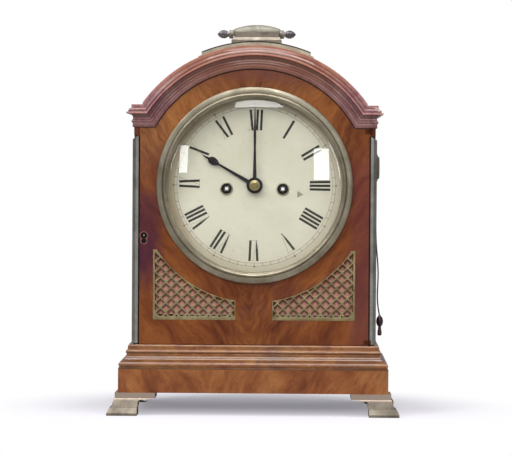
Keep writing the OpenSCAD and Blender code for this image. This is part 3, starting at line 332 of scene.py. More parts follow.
def fade(tree, value, start, end):
    """From 0 at start to 1 at end with soft ends, both in millimetres."""
    return span(tree, value, start * MM, end * MM, soft=True)


def noise(tree, place, scale, detail, roughness=0.5, distortion=0.0):
    """Cloudy numbers from 0 to 1."""
    return add(tree, "TexNoise", Vector=place, Scale=scale, Detail=detail, Roughness=roughness,
               Distortion=distortion).outputs["Fac"]


def bump(tree, height, distance_mm, strength=1.0):
    """The normal of a surface whose relief follows a mask."""
    return add(tree, "Bump", Height=height, Strength=strength, Distance=distance_mm * MM).outputs["Normal"]


print("node helpers ready")


# %% Helpers for colours
def srgb(r, g, b):
    """A colour as a screen shows it, 0 to 255, turned into the linear numbers that light uses."""
    c = np.array([r, g, b]) / 255
    return tuple(float(v) for v in np.where(c <= 0.04045, c / 12.92, ((c + 0.055) / 1.055) ** 2.4))


def tones(*stops):
    """Stops of a ramp from (place, red, green, blue)."""
    return [(place, srgb(*colour)) for place, *colour in stops]


def ramp(tree, factor, stops):
    """A colour ramp from (place, colour) pairs."""
    node = add(tree, "ValToRGB", Fac=factor)
    ramp_stops = node.color_ramp.elements
    while len(ramp_stops) < len(stops):
        ramp_stops.new(0.5)
    for element, (place, colour) in zip(ramp_stops, stops):
        element.position = place
        element.color = (*colour, 1)
    return node.outputs["Color"]


def mixed(tree, factor, a, b, how="MIX"):
    """Two colours mixed by a factor."""
    a, b = (c if isinstance(c, bpy.types.NodeSocket) else (*c, 1) for c in (a, b))
    return add(tree, "Mix", {"data_type": "RGBA", "blend_type": how}, i0=factor, i6=a, i7=b).outputs[2]


print("mid grey is", round(srgb(128, 128, 128)[0], 3), "in linear light")


# %% Helpers for finishes and groups
def new_group(name, masks, **numbers):
    """A node group: a place comes in as Vector beside named numbers, and named masks go out."""
    group = bpy.data.node_groups.new(name, "ShaderNodeTree")
    group.interface.new_socket("Vector", in_out="INPUT", socket_type="NodeSocketVector")
    for label, value in numbers.items():
        socket = group.interface.new_socket(label, in_out="INPUT", socket_type="NodeSocketFloat")
        socket.default_value = value
    for label in masks:
        group.interface.new_socket(label, in_out="OUTPUT", socket_type="NodeSocketFloat")
    return group, group.nodes.new("NodeGroupInput").outputs, group.nodes.new("NodeGroupOutput")


def placed(tree, group, **inputs):
    """A group put into a material: its masks."""
    return add(tree, "Group", {"node_tree": group}, **inputs).outputs


def new_finish(name):
    """A material with only a Principled shader in it."""
    finish = bpy.data.materials.new(name)
    finish.use_nodes = True
    tree = finish.node_tree
    tree.nodes.clear()
    shader = add(tree, "BsdfPrincipled")
    add(tree, "OutputMaterial", Surface=shader.outputs[0])
    return finish, tree, shader


def cover(tree, shader, factor, other):
    """Shows another shader instead of the Principled one where the factor is 1."""
    both = add(tree, "MixShader", i0=factor, i1=shader.outputs[0], i2=other.outputs[0])
    fill(next(n for n in tree.nodes if n.type == "OUTPUT_MATERIAL"), Surface=both.outputs[0])


def object_place(tree, scale=(1, 1, 1), shift=(0, 0, 0)):
    """The place on the object in metres, moved and stretched."""
    place = add(tree, "TexCoord").outputs["Object"]
    return add(tree, "Mapping", Vector=place, Location=shift, Scale=scale).outputs["Vector"]


def apart(tree):
    """The place on the object as separate X, Y and Z."""
    return add(tree, "SeparateXYZ", Vector=object_place(tree)).outputs


print("finish helpers ready")

# %% [markdown]
# ## Round marks
# Keyholes, bushings and worn rings are round spots on a piece. Each could be its own mesh, but a stain has
# no thickness. One group therefore measures how far a place is from a centre in the front view, and every
# finish that has a round mark takes its mask from it. The mirror image is marked too, because the winding
# holes stand in pairs.

# %% The group that marks a circle
round_group, came, gone = new_group("round mark", ["Inside"], X=0.0, Z=0.0, Radius=0.005, Soft=0.0003)
g = round_group
spot = add(g, "SeparateXYZ", Vector=came["Vector"]).outputs
dx = maths(g, "SUBTRACT", maths(g, "ABSOLUTE", spot["X"]), came["X"])
dz = maths(g, "SUBTRACT", spot["Z"], came["Z"])
fill(gone, Inside=span(g, hypot(g, dx, dz), maths(g, "ADD", came["Radius"], came["Soft"]), came["Radius"]))


def in_circle(tree, x, z, r, soft=0.3):
    """1 inside a circle of the front view and its mirror image, 0 outside. Sizes are in millimetres."""
    return placed(tree, round_group, Vector=object_place(tree), X=x * MM, Z=z * MM, Radius=r * MM,
                  Soft=soft * MM)["Inside"]


print("round mark group", len(g.nodes), "nodes")

# %% [markdown]
# ## Mahogany
# The case is veneered with flame mahogany: streaks rise from the middle of the base and lean outwards like
# a plume, broken by darker clouds, under a deep polish. Noise that is stretched along the streaks gives
# them, a ramp turns it into browns, and a much finer noise gives the open pores. The plume is found by
# leaning the streaks away from the middle, with the absolute value of x, so one group does all boards.

# %% The group that draws wood
wood_group, came, gone = new_group("flame figure", ["Figure", "Pores", "Sheen", "Cloud"],
                                   Lean=0.5, Figure=26.0, Clouds=9.0, Stretch=0.16)
g = wood_group
spot = add(g, "SeparateXYZ", Vector=came["Vector"]).outputs
bend = product(g, maths(g, "SUBTRACT", noise(g, came["Vector"], 14.0, 3.0, 0.55), 0.5), 0.055)
side_x = maths(g, "ABSOLUTE", spot["X"])
across = maths(g, "SUBTRACT", maths(g, "ADD", side_x, bend), product(g, spot["Z"], came["Lean"]))
along = maths(g, "ADD", product(g, side_x, came["Lean"]), spot["Z"])
streak = add(g, "CombineXYZ", X=across, Y=product(g, spot["Y"], 0.8),
             Z=product(g, along, came["Stretch"])).outputs[0]
broad = noise(g, streak, came["Figure"], 7.0, 0.62, 0.6)
fine = noise(g, streak, product(g, came["Figure"], 5.5), 4.0, 0.6)
cloud = noise(g, came["Vector"], came["Clouds"], 3.0, 0.6, 0.8)
pore = noise(g, streak, product(g, came["Figure"], 42.0), 2.0)
streaks = maths(g, "ADD", product(g, broad, 0.52), product(g, fine, 0.22))
fill(gone, Figure=maths(g, "ADD", streaks, product(g, cloud, 0.34)), Pores=span(g, pore, 0.60, 0.72),
     Sheen=span(g, fine, 0.3, 0.7), Cloud=cloud)
print("wood group", len(g.nodes), "nodes")


# %% Mahogany under its polish
def mahogany(name, stops, lean=0.5, figure=26.0, clouds=9.0, stretch=0.16, shift=(0, 0, 0), gloss=0.16,
             coat=0.35, blush=0.6, overlay=None):
    """Polished wood: figure to colour, dark plum clouds, fine pores a little sunk, under a clear coat.
    An overlay is a function of the tree, the wood's masks and the colour: tints and painted light and
    shade."""
    finish, tree, shader = new_finish(name)
    wood = placed(tree, wood_group, Vector=object_place(tree, shift=shift), Lean=lean, Figure=figure,
                  Clouds=clouds, Stretch=stretch)
    colour = ramp(tree, wood["Figure"], stops)
    plum = span(tree, wood["Cloud"], 0.50, 0.68, high=blush, soft=True)
    colour = mixed(tree, plum, colour, srgb(70, 30, 40))
    if overlay:
        colour = overlay(tree, wood, colour)
    sunk = maths(tree, "SUBTRACT", 1.0, wood["Pores"])
    fill(shader, Base_Color=mixed(tree, product(tree, wood["Pores"], 0.45), colour, (0.035, 0.012, 0.006)),
         Roughness=span(tree, wood["Sheen"], 0.0, 1.0, 0.30, 0.46), Normal=bump(tree, sunk, 0.06, 0.5),
         Specular_IOR_Level=0.1, Coat_Weight=coat, Coat_Roughness=gloss)
    return finish


side_tones = tones((0.38, 56, 22, 14), (0.50, 94, 46, 26), (0.62, 122, 68, 38), (0.74, 142, 86, 52))
plinth_tones = tones((0.38, 92, 46, 26), (0.48, 134, 76, 42), (0.58, 160, 102, 58), (0.72, 188, 132, 80))
side_wood = mahogany("plain mahogany", side_tones, lean=0.0, figure=34, clouds=10, stretch=0.10)
base_wood = mahogany("carcase mahogany", side_tones, figure=30, stretch=1.6, gloss=0.3, coat=0.15)
plinth_wood = mahogany("plinth mahogany", plinth_tones, lean=0.5, figure=30, clouds=12, stretch=0.3,
                       shift=(0.05, 0, 0.2), blush=0.35)
print("plain boards", len(bpy.data.materials))

# %% [markdown]
# ### The door's colours
# The door's colour is uneven. The plume is lighter low in the middle, the stiles are darker and plum, and
# the shoulders are lighter, most on the left. A black line along the door's front edges is painted shade,
# standing for the shadow in the gap beside the door. Each is a soft mask made of fades along x and z, mixed
# over the wood one by one. Masks were chosen over a painted picture, because they stay sharp at any
# distance.


# %% Colours of the door
def door_tints(tree, wood, colour):
    """Lays each tint over the colour, where its fades across and up the door overlap."""
    spot = apart(tree)
    x, z, aside = spot["X"], spot["Z"], maths(tree, "ABSOLUTE", spot["X"])
    streaky = maths(tree, "POWER", wood["Sheen"], 1.6)
    cloudy = maths(tree, "ADD", wood["Cloud"], 0.25, True)
    glossy = maths(tree, "ADD", wood["Sheen"], 0.2, True)
    tints = [
        ((fade(tree, aside, 52, 4), fade(tree, z, 190, 96), streaky, 0.8), (160, 98, 46)),
        ((fade(tree, z, 350, 385), 0.45), (150, 98, 84)),
        ((fade(tree, x, -94, -112), fade(tree, z, 120, 170), fade(tree, z, 262, 226), cloudy),
         (72, 30, 50)),
        ((fade(tree, x, 96, 114), 0.5, fade(tree, z, 300, 262)), (96, 42, 52)),
        ((fade(tree, z, 262, 306), fade(tree, z, 376, 348), glossy, fade(tree, x, 170, -30), 0.6),
         (176, 118, 66)),
    ]
    for masks, tint in tints:
        colour = mixed(tree, product(tree, *masks), colour, srgb(*tint))
    return colour


gap_shade_x = half_body - 8.6


def door_tints_and_painted_shade(tree, wood, colour):
    """The tints, a black edge painted as the gap's shade, and the keyhole painted black as its shade in a
    paler ring.
    """
    colour = door_tints(tree, wood, colour)
    spot = apart(tree)
    # A black line along the door's front edges is painted shade, standing for the shadow in the gap beside
    # it.
    gap_shade = product(tree, fade(tree, maths(tree, "ABSOLUTE", spot["X"]), gap_shade_x, gap_shade_x + 0.4),
                    fade(tree, spot["Y"], front_y + 1.4, front_y + 0.9),
                    fade(tree, spot["Z"], strip_top + 1, strip_top - 1))
    colour = mixed(tree, gap_shade, colour, (0.01, 0.006, 0.006))
    on_left = fade(tree, spot["X"], 0, -1)
    # A paler ring round the keyhole, then the keyhole and a rim round it painted black as the shade in the
    # hole.
    for raised, r in ((1, 4.5), (-4.6, 3.8)):
        worn = product(tree, in_circle(tree, -key_x, key_z + raised, r, 0.5), on_left, 0.3)
        colour = mixed(tree, worn, colour, srgb(190, 130, 104))
    for raised, r in ((1, 3.4), (-4.6, 2.6)):
        hole = product(tree, in_circle(tree, -key_x, key_z + raised, r), on_left)
        colour = mixed(tree, hole, colour, (0.004, 0.003, 0.003))
    return colour


door_tones = tones((0.36, 50, 16, 9), (0.45, 88, 38, 16), (0.52, 112, 56, 24), (0.60, 136, 76, 34),
                   (0.74, 172, 108, 56))
door_wood = mahogany("flame mahogany", door_tones, lean=0.62, figure=22, clouds=13, stretch=0.20,
                     shift=(0.004, 0, -0.1), overlay=door_tints_and_painted_shade)
print("door joint at", gap_shade_x.round(1), "keyhole at", key_x.round(1), round(key_z, 1))

# %% [markdown]
# ### The mouldings' painted light
# Each moulding has painted highlights along its beads and fillets and painted shade along its hollows, as
# fine lines. They could follow the mesh by a UV map, but the way across each moulding is a simple number:
# the height at the base, and at the cornice the smaller of two, out from the arch's circle or up from the
# shoulders. That number, as a share of the moulding's width, goes through a ramp that darkens or lightens.

# %% Lines along the mouldings
# Values above one are painted highlights, values below one painted shade.
CROWN_HIGHLIGHTS_AND_SHADE = [(0.0, 0.35), (0.05, 0.9), (0.15, 1.0), (0.175, 2.0), (0.21, 0.7), (0.30, 1.1), (0.36, 0.8),
               (0.40, 1.9), (0.43, 0.6), (0.52, 0.8), (0.59, 1.0), (0.62, 2.2), (0.66, 1.6), (0.69, 0.5),
               (0.76, 0.95), (0.83, 1.25), (0.86, 0.5), (0.91, 1.2), (1.0, 1.7)]
BASE_HIGHLIGHTS_AND_SHADE = [(0.0, 0.5), (0.05, 0.55), (0.09, 1.0), (0.20, 1.25), (0.27, 0.85), (0.42, 0.8), (0.55, 0.95),
              (0.61, 1.35), (0.64, 0.5), (0.70, 0.9), (0.80, 1.15), (0.86, 0.9), (0.93, 1.1), (1.0, 1.0)]


def painted_highlights_and_shade(tree, colour, risen, tall, lines):
    """A colour times its painted highlights and shade, by how far the place has risen across a moulding."""
    shade = ramp(tree, span(tree, risen, 0.0, tall * MM), [(where, (much,) * 3) for where, much in lines])
    return mixed(tree, 1.0, colour, shade, "MULTIPLY")


def crown_tint_and_painted_light(tree, wood, colour):
    """Browner over the arch, with the cornice's painted highlights and shade."""
    spot = apart(tree)
    warm = span(tree, spot["Z"], (z_cornice + 34) * MM, (z_cornice + 60) * MM, high=0.6)
    colour = mixed(tree, warm, colour, srgb(138, 88, 62))
    radius = hypot(tree, spot["X"], maths(tree, "SUBTRACT", spot["Z"], z_arch * MM))
    risen = maths(tree, "MINIMUM", maths(tree, "SUBTRACT", radius, arch_inner * MM),
                  maths(tree, "SUBTRACT", spot["Z"], z_cornice * MM))
    return painted_highlights_and_shade(tree, colour, risen, cornice_h, CROWN_HIGHLIGHTS_AND_SHADE)


def base_painted_light(tree, wood, colour):
    """The base moulding's painted highlights and shade."""
    risen = maths(tree, "SUBTRACT", apart(tree)["Z"], z_mould * MM)
    return painted_highlights_and_shade(tree, colour, risen, mould_h, BASE_HIGHLIGHTS_AND_SHADE)


mould_tones = tones((0.38, 88, 50, 56), (0.48, 120, 76, 80), (0.60, 146, 106, 102), (0.74, 172, 132, 120))
base_tones = tones((0.38, 92, 44, 30), (0.50, 134, 82, 46), (0.62, 160, 108, 60), (0.74, 184, 134, 80))
mould_wood = mahogany("moulding mahogany", mould_tones, lean=0.0, figure=60, clouds=16, stretch=0.6,
                      gloss=0.05, coat=1.0, blush=0.2, overlay=crown_tint_and_painted_light)
step_wood = mahogany("base moulding mahogany", base_tones, lean=0.0, figure=46, clouds=12, stretch=3.0,
                     gloss=0.07, coat=1.0, blush=0.5, overlay=base_painted_light)
print("mahogany finishes", len(bpy.data.materials))

# %% [markdown]
# ## Brass, steel and bell metal
# Old brass isn't one colour: handled places stay bright, the rest goes khaki and grey, and fine wiping
# marks cross it. One group gives three masks, and every metal finish mixes its own two colours with them.
# A metal may also carry one mark of its own, such as a rubbed end, given as a mask and a tint.

# %% The group that ages metal
age_group, came, gone = new_group("aged metal", ["Tarnish", "Fine", "Wipe"], Patches=24.0)
g = age_group
patch = noise(g, came["Vector"], came["Patches"], 6.0, 0.62, 0.4)
stretched = add(g, "Mapping", Vector=came["Vector"], Scale=(1.0, 1.0, 14.0)).outputs[0]
fill(gone, Tarnish=span(g, patch, 0.34, 0.68), Fine=noise(g, came["Vector"], 700.0, 3.0, 0.7),
     Wipe=span(g, noise(g, stretched, 160.0, 5.0, 0.7), 0.35, 0.65))
print("metal group", len(g.nodes), "nodes")


# %% Metal, and the marks it may carry
def metal(name, clean, dull, smooth=0.22, rough=0.48, patches=24.0, relief=0.015, mark=None):
    """Metal from its clean to its dull colour, rougher where it is dull, with a fine grain. A mark is
    a function that gives the place and the colour of one more tint."""
    finish, tree, shader = new_finish(name)
    aged = placed(tree, age_group, Vector=object_place(tree), Patches=patches)
    fine_dull = product(tree, maths(tree, "SUBTRACT", aged["Fine"], 0.5), 0.9)
    dullness = maths(tree, "ADD", aged["Tarnish"], fine_dull, True)
    colour = mixed(tree, dullness, srgb(*clean), srgb(*dull))
    if mark:
        place, tint = mark(tree)
        colour = mixed(tree, place, colour, srgb(*tint))
    wear = maths(tree, "ADD", product(tree, dullness, 0.7), product(tree, aged["Wipe"], 0.3))
    fill(shader, Base_Color=colour, Roughness=span(tree, wear, 0.0, 1.0, smooth, rough), Metallic=1.0,
         Normal=bump(tree, aged["Fine"], relief, 0.6))
    return finish


def saddle_dark_reflection(tree):
    """A painted dark reflection: the dark line along the top of the saddle's front."""
    low, high = box_mm("saddle_plate")
    front = span(tree, apart(tree)["Y"], (low[1] + 5.0) * MM, (low[1] + 4.6) * MM)
    inside = in_circle(tree, 0, z_arch, high[2] - z_arch - 1.5, 0.5)
    return product(tree, maths(tree, "SUBTRACT", 1.0, inside), front), (48, 44, 54)


def foot_wing(tree):
    """The upper band of a foot, in a lighter colour."""
    high = box_mm("feet")[1][2]
    return span(tree, apart(tree)["Z"], (high - 8.2) * MM, (high - 7.2) * MM, high=0.75), (196, 178, 164)


def bore_shade(tree):
    """Painted shade: the inside of a winding hole's bushing, painted black."""
    return in_circle(tree, wind_x, wind_z, bushing_r), (14, 12, 11)


def rubbed(tree):
    """The bright end of a winding square, rubbed by the key."""
    return in_circle(tree, wind_x, wind_z, 1.7, 0.4), (236, 236, 244)


print("marks ready")

# %% The metals
bezel_brass = metal("bezel brass", (180, 171, 150), (134, 126, 108), 0.30, 0.46, 30)
dark_bronze = metal("dark bronze", (74, 56, 44), (30, 22, 20), 0.4, 0.6, 90)
browned = metal("browned brass", (104, 58, 36), (76, 40, 24), 0.55, 0.7, 90)
grommet_brass = metal("old bushing brass", (190, 182, 156), (140, 132, 108), 0.4, 0.6, 200, mark=bore_shade)
saddle_brass = metal("saddle brass", (206, 198, 176), (160, 152, 134), 0.50, 0.66, 50, mark=saddle_dark_reflection)
bright_steel = metal("rubbed steel", (34, 31, 30), (20, 18, 18), 0.5, 0.65, 300, mark=rubbed)
fret_brass = metal("fret brass", (196, 180, 136), (134, 116, 82), 0.30, 0.5, 60)
strip_brass = metal("corner brass", (190, 188, 180), (134, 132, 126), 0.30, 0.5, 40)
handle_brass = metal("handle brass", (158, 148, 136), (112, 104, 94), 0.50, 0.66, 50)
knob_brass = metal("rubbed grip brass", (158, 154, 142), (130, 126, 114), 0.62, 0.74, 30)
foot_brass = metal("foot brass", (162, 152, 137), (118, 109, 99), 0.52, 0.66, 36, mark=foot_wing)
finial_brass = metal("dark finial brass", (150, 142, 146), (84, 74, 84), 0.26, 0.42, 90)
movement_brass = metal("lacquered brass", (232, 206, 140), (204, 174, 108), 0.16, 0.36)
steel = metal("polished steel", (206, 206, 208), (150, 150, 154), 0.16, 0.36)
bell_metal = metal("bell metal", (226, 212, 158), (176, 158, 108), 0.14, 0.34)
blued = metal("blued steel", (62, 56, 62), (30, 27, 30), 0.26, 0.42, 60, relief=0.004)
collet_brass = metal("collet brass", (190, 176, 128), (136, 124, 78), 0.24, 0.42, 160)
print("metal finishes ready, materials", len(bpy.data.materials))

# %% [markdown]
# ## Glass and dial paint
# Glass is a clear shader with a trace of film on it. Its shadow would darken the dial, because soft light
# can't find its way through a thick dome, so shadow rays go straight through instead. The dial is cream
# paint on a metal dome. Towards the rim it is darker and browner, most of all at the upper left, which is
# a mask of how far out a place lies times a slow lean across the dial.


# %% Glass and dial paint
def glass_finish(name, tint):
    """Clear glass. Shadow rays pass straight through it, so what lies behind is lit."""
    finish, tree, shader = new_finish(name)
    smear = noise(tree, object_place(tree), 18.0, 4.0)
    fill(shader, Metallic=0.0, Transmission_Weight=1.0, IOR=1.46,
         Roughness=span(tree, smear, 0, 1, 0, 0.03), Base_Color=mixed(tree, smear, tint, (1, 1, 1)))
    cover(tree, shader, add(tree, "LightPath").outputs["Is Shadow Ray"],
          add(tree, "BsdfTransparent", Color=(0.97, 0.97, 0.96, 1)))
    return finish


def dial_paint(radius_mm):
    """Cream paint: darker and browner towards the rim, faintly mottled, with a soft gloss."""
    finish, tree, shader = new_finish("aged dial paint")
    place, spot = object_place(tree), apart(tree)
    raised = maths(tree, "SUBTRACT", spot["Z"], dial_z * MM)
    broad = noise(tree, place, 9.0, 4.0, 0.6)
    fine = noise(tree, place, 240.0, 3.0, 0.6)
    ground = ramp(tree, broad, tones((0.35, 191, 187, 168), (0.65, 205, 202, 185)))
    ground = mixed(tree, span(tree, fine, 0.60, 0.74, high=0.28), ground, srgb(166, 154, 126))
    rim = fade(tree, hypot(tree, spot["X"], raised), radius_mm - 17, radius_mm - 9)
    upper_left = span(tree, maths(tree, "SUBTRACT", raised, spot["X"]), -0.12, 0.12, 0.35)
    rim_tone = product(tree, rim, maths(tree, "ADD", broad, 0.25), upper_left)
    fill(shader, Base_Color=mixed(tree, rim_tone, ground, srgb(150, 130, 94)), Roughness=0.42,
         Specular_IOR_Level=0.2, Normal=bump(tree, fine, 0.01, 0.4))
    return finish


dial_r, dial_rise = 101.0, 3.0
clock_glass = glass_finish("old glass", (0.97, 0.985, 0.97))
dial_cream = dial_paint(dial_r)
print("dial paint fades over", dial_r - 17, "to", dial_r - 9, "mm")

# %% [markdown]
# ## Ink, silk, thread and lacquer
# The small finishes share three effects, and each is a group. Worn ink has gaps where a fine noise is high.
# Silk is a plain weave, two waves that cross, with thicker slubs in its threads. Lacquer, wax and the black
# put in holes as painted shade are two near colours in soft clouds. The silk behind the front frets has
# painted shadow under the bars that cross above each opening, which is worked out from the lattice itself.

# %% Groups for wear, weave and clouds
wear_group, came, gone = new_group("worn paint", ["Worn"], Amount=0.5)
g = wear_group
fill(gone, Worn=span(g, noise(g, came["Vector"], 420.0, 4.0, 0.65), 0.48, 0.70, 0.0, came["Amount"]))

weave_group, came, gone = new_group("plain weave", ["Over", "Slub"])
g = weave_group
warp, weft = (add(g, "TexWave", {"bands_direction": axis}, Vector=came["Vector"], Scale=420.0,
                  Distortion=0.6, Detail=1.0, Detail_Scale=2.0).outputs["Fac"] for axis in "XZ")
fill(gone, Over=product(g, warp, weft), Slub=noise(g, came["Vector"], 70.0, 5.0, 0.7))

cloud_group, came, gone = new_group("soft clouds", ["Cloud"])
fill(gone, Cloud=noise(cloud_group, came["Vector"], 130.0, 4.0))
print("groups", len(bpy.data.node_groups))


# %% Ink, lacquer and thread
def ink(name, dark, worn, amount):
    """Painted lines, worn through here and there."""
    finish, tree, shader = new_finish(name)
    gaps = placed(tree, wear_group, Vector=object_place(tree), Amount=amount)["Worn"]
    fill(shader, Base_Color=mixed(tree, gaps, srgb(*dark), srgb(*worn)), Roughness=0.5,
         Specular_IOR_Level=0.15)
    return finish


def lacquered(name, light, dark, rough=0.14):
    """A dark polished bead, waxed gut, or the black put in holes as painted shade: two near colours in soft
    clouds.
    """
    finish, tree, shader = new_finish(name)
    cloud = placed(tree, cloud_group, Vector=object_place(tree))["Cloud"]
    fill(shader, Base_Color=mixed(tree, cloud, srgb(*dark), srgb(*light)),
         Roughness=span(tree, cloud, 0, 1, rough, rough + 0.12))
    return finish


def thread(name, light, dark):
    """Silk thread: fibres run along it, so the noise is finer than the strands."""
    finish, tree, shader = new_finish(name)
    fibres = noise(tree, object_place(tree, (1, 1, 0.3)), 2600.0, 3.0)
    fill(shader, Base_Color=mixed(tree, fibres, srgb(*dark), srgb(*light)), Roughness=0.6, Sheen_Weight=0.2)
    return finish


numeral_ink = ink("numeral ink", (30, 29, 24), (96, 92, 78), 0.4)
track_ink = ink("faded track ink", (96, 78, 56), (168, 152, 124), 0.7)
chip_grey = ink("bare metal chip", (136, 136, 122), (166, 162, 144), 0.7)
cord_thread = thread("cord silk", (96, 66, 60), (52, 32, 34))
gut = lacquered("waxed gut", (212, 186, 132), (168, 140, 92), 0.35)
bead_finish = lacquered("polished bead", (70, 40, 52), (30, 16, 24), 0.10)
# Black for the sleeves and the plate behind the keyhole, which stand for the shade in those holes.
shade_black = lacquered("black for shaded holes", (20, 17, 15), (6, 5, 5), 0.6)
print("small finishes ready, materials", len(bpy.data.materials))


# %% Silk, plain and with painted shadow
def lattice_shadow_mask(tree, x0, z0, pitch, row):
    """Painted shadow of a lattice on the silk: how deep a place lies under the crossing bars. The two
    diagonal ways b - a and b + a are folded into shares of a cell, and the end of each share is shaded."""
    spot = apart(tree)
    off = maths(tree, "SUBTRACT", maths(tree, "ABSOLUTE", spot["X"]), x0 * MM)
    a = maths(tree, "DIVIDE", off, pitch * MM)
    b = maths(tree, "DIVIDE", maths(tree, "SUBTRACT", spot["Z"], z0 * MM), 2 * row * MM)
    edges = []
    for how in ("SUBTRACT", "ADD"):
        share = maths(tree, "FRACT", maths(tree, "ADD", maths(tree, how, b, a), 0.5))
        edges.append(span(tree, share, 0.42, 0.80, soft=True))
    return product(tree, maths(tree, "MAXIMUM", *edges), 0.8)


def silk(name, warp_colour, weft_colour, lattice=None):
    """A plain weave: warp and weft cross every three quarters of a millimetre, with a soft sheen. A
    lattice (x, z, pitch, row) in front of it casts a painted shadow on it."""
    finish, tree, shader = new_finish(name)
    weave = placed(tree, weave_group, Vector=object_place(tree))
    tone = mixed(tree, weave["Slub"], srgb(*warp_colour), srgb(*weft_colour))
    if lattice:
        # The lattice's shadow, painted on the silk in dark brown.
        tone = mixed(tree, lattice_shadow_mask(tree, *lattice), tone, srgb(52, 24, 16))
    shaded = product(tree, maths(tree, "SUBTRACT", 1.0, weave["Over"]), 0.22)
    fill(shader, Base_Color=mixed(tree, shaded, tone, (0.10, 0.035, 0.025)), Roughness=0.62,
         Sheen_Weight=0.25, Normal=bump(tree, weave["Over"], 0.05, 0.7))
    return finish


salmon_silk = silk("salmon silk", (214, 154, 134), (188, 126, 110))
print("all finishes", len(bpy.data.materials))

# %% [markdown]
# ## The repeat cord
# A pull on the cord makes the clock strike the last hour again. It is twisted silk, 1.5 mm thick. It comes
# out of a brass boss on the right side, hangs close to the wood in a gentle curve, and ends in a turned
# bead with a little tassel. The shown length is 154 mm.
# An inner run leads on to the lever. A plain tube would be simpler, but its edge shows no twist.


# %% Helpers for cords
def smooth_path(points, step):
    """A smooth line through given points, cut into even steps: Catmull-Rom between neighbours."""
    p = np.asarray(points, dtype=float)
    p = np.vstack([2 * p[0] - p[1], p, 2 * p[-1] - p[-2]])
    t = np.linspace(0, 1, 40, endpoint=False)[:, None]
    pieces = []
    for a, b, c, d in zip(p[:-3], p[1:-2], p[2:-1], p[3:]):
        square, cube = 2 * a - 5 * b + 4 * c - d, 3 * b - a - 3 * c + d
        pieces.append(0.5 * (2 * b + (c - a) * t + square * t**2 + cube * t**3))
    line = np.vstack([*pieces, p[-2:-1]])
    run = np.concatenate([[0], np.cumsum(np.linalg.norm(np.diff(line, axis=0), axis=1))])
    even = np.linspace(0, run[-1], int(run[-1] / step) + 1)
    return np.stack([np.interp(even, run, line[:, k]) for k in range(3)], axis=1), even


def twisted_cord(line, run, radius=0.82, strands=3, pitch=5.0, groove=0.14, sides=24):
    """A cord of twisted strands round a line. Its outline has one lobe for each strand, the absolute
    cosine of half the angle times the strands, and the lobes repeat after each pitch along the run."""
    ahead = np.gradient(line, axis=0)
    ahead /= np.linalg.norm(ahead, axis=1)[:, None]
    side = np.tile([0.0, 1.0, 0.0], (len(line), 1))
    normal = np.cross(side, ahead)
    a = around_full(sides).T
    lobes = np.abs(np.cos((strands * a - 2 * math.pi * run[:, None] / pitch) / 2))
    r = radius * (1 - groove + groove * lobes)
    return loft(line[:, None] + r[..., None] * (
        np.cos(a)[..., None] * normal[:, None] + np.sin(a)[..., None] * side[:, None]))


print("cord helpers ready")

# %% The cord
cord_y, cord_z = box_mm("cord_boss")[0][1] + 16, dial_z + 11.6
hang = [[1.7, 0], [1.6, -14], [1.5, -28], [1.5, -42], [1.6, -54], [1.9, -66], [2.5, -78], [3.4, -88],
        [4.2, -98], [4.6, -108], [4.4, -118], [4.0, -128], [4.1, -137], [5.0, -146], [6.4, -154]]
cord_line, cord_run = smooth_path([[half_wood + x, cord_y, cord_z + z] for x, z in hang], 0.5)
repeat_cord = new_piece("repeat_cord_twist", *twisted_cord(cord_line, cord_run), None, cord_thread)
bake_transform(repeat_cord)
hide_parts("repeat_cord")
print("cord", round(float(cord_run[-1]), 1), "mm long")

# %% Its bead, its tassel and its inner run
bead_low, bead_high = box_mm("cord_bead")
bead_x, bead_z = (bead_low[0] + bead_high[0]) / 2, bead_high[2]
a = np.radians(np.linspace(0, 180, 25))
ball = np.stack([3.8 * np.sin(a), 6.2 * np.cos(a) - 6.2], axis=1)
bead_line = profile([(0, 0.5), (1.3, 0.4), (1.5, 0.0), (1.3, -0.3)], ball[3:-3],
                    [(1.5, -12.2), (1.6, -12.5), (1.4, -12.8), (0, -12.9)])
bead = new_piece("repeat_bead", *turned_z(bead_line, bead_x, cord_y, bead_z), "repeat_pull", bead_finish)
fringe = [(0, -12.4), (1.1, -12.5), (1.9, -13.4), (1.7, -14.2), (1.5, -14.6), (1.9, -15.6), (2.25, -18.6),
          (2.1, -21.4), (1.2, -21.9), (0, -22.0)]
tassel = new_piece("repeat_tassel", *turned_z(fringe, bead_x, cord_y, bead_z, 96, 16, 0.07), "repeat_pull",
                   cord_thread)
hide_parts("cord_bead")
lever_x = 68.5
inner_line = np.array([[x, cord_y, cord_z] for x in np.linspace(lever_x, half_wood + 1.6, 160)])
inner_run = new_piece("repeat_cord_inner", *twisted_cord(inner_line, inner_line[:, 0]), None, cord_thread)
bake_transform(inner_run)
print("inner run", round(float(np.ptp(inner_line[:, 0])), 1), "mm long")

# %% [markdown]
# ## Mouldings
# A moulding is one profile carried along a path. The profile is a list of points (u, v): u stands out from
# the wood and v goes up. At a corner the profile is set on the mitre, and over the arch it is carried round
# a circle. Each station below turns the whole profile into points at once.


# %% Cornice and arch moulding
def finish_moulding(piece, node):
    """Stands in for a solid part, its edges a little rounded and its curves smooth."""
    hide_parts(node)
    sharp_by_angle(crisp(piece, 0.18, 40), 34)
    print(node, len(piece.data.polygons), "faces")


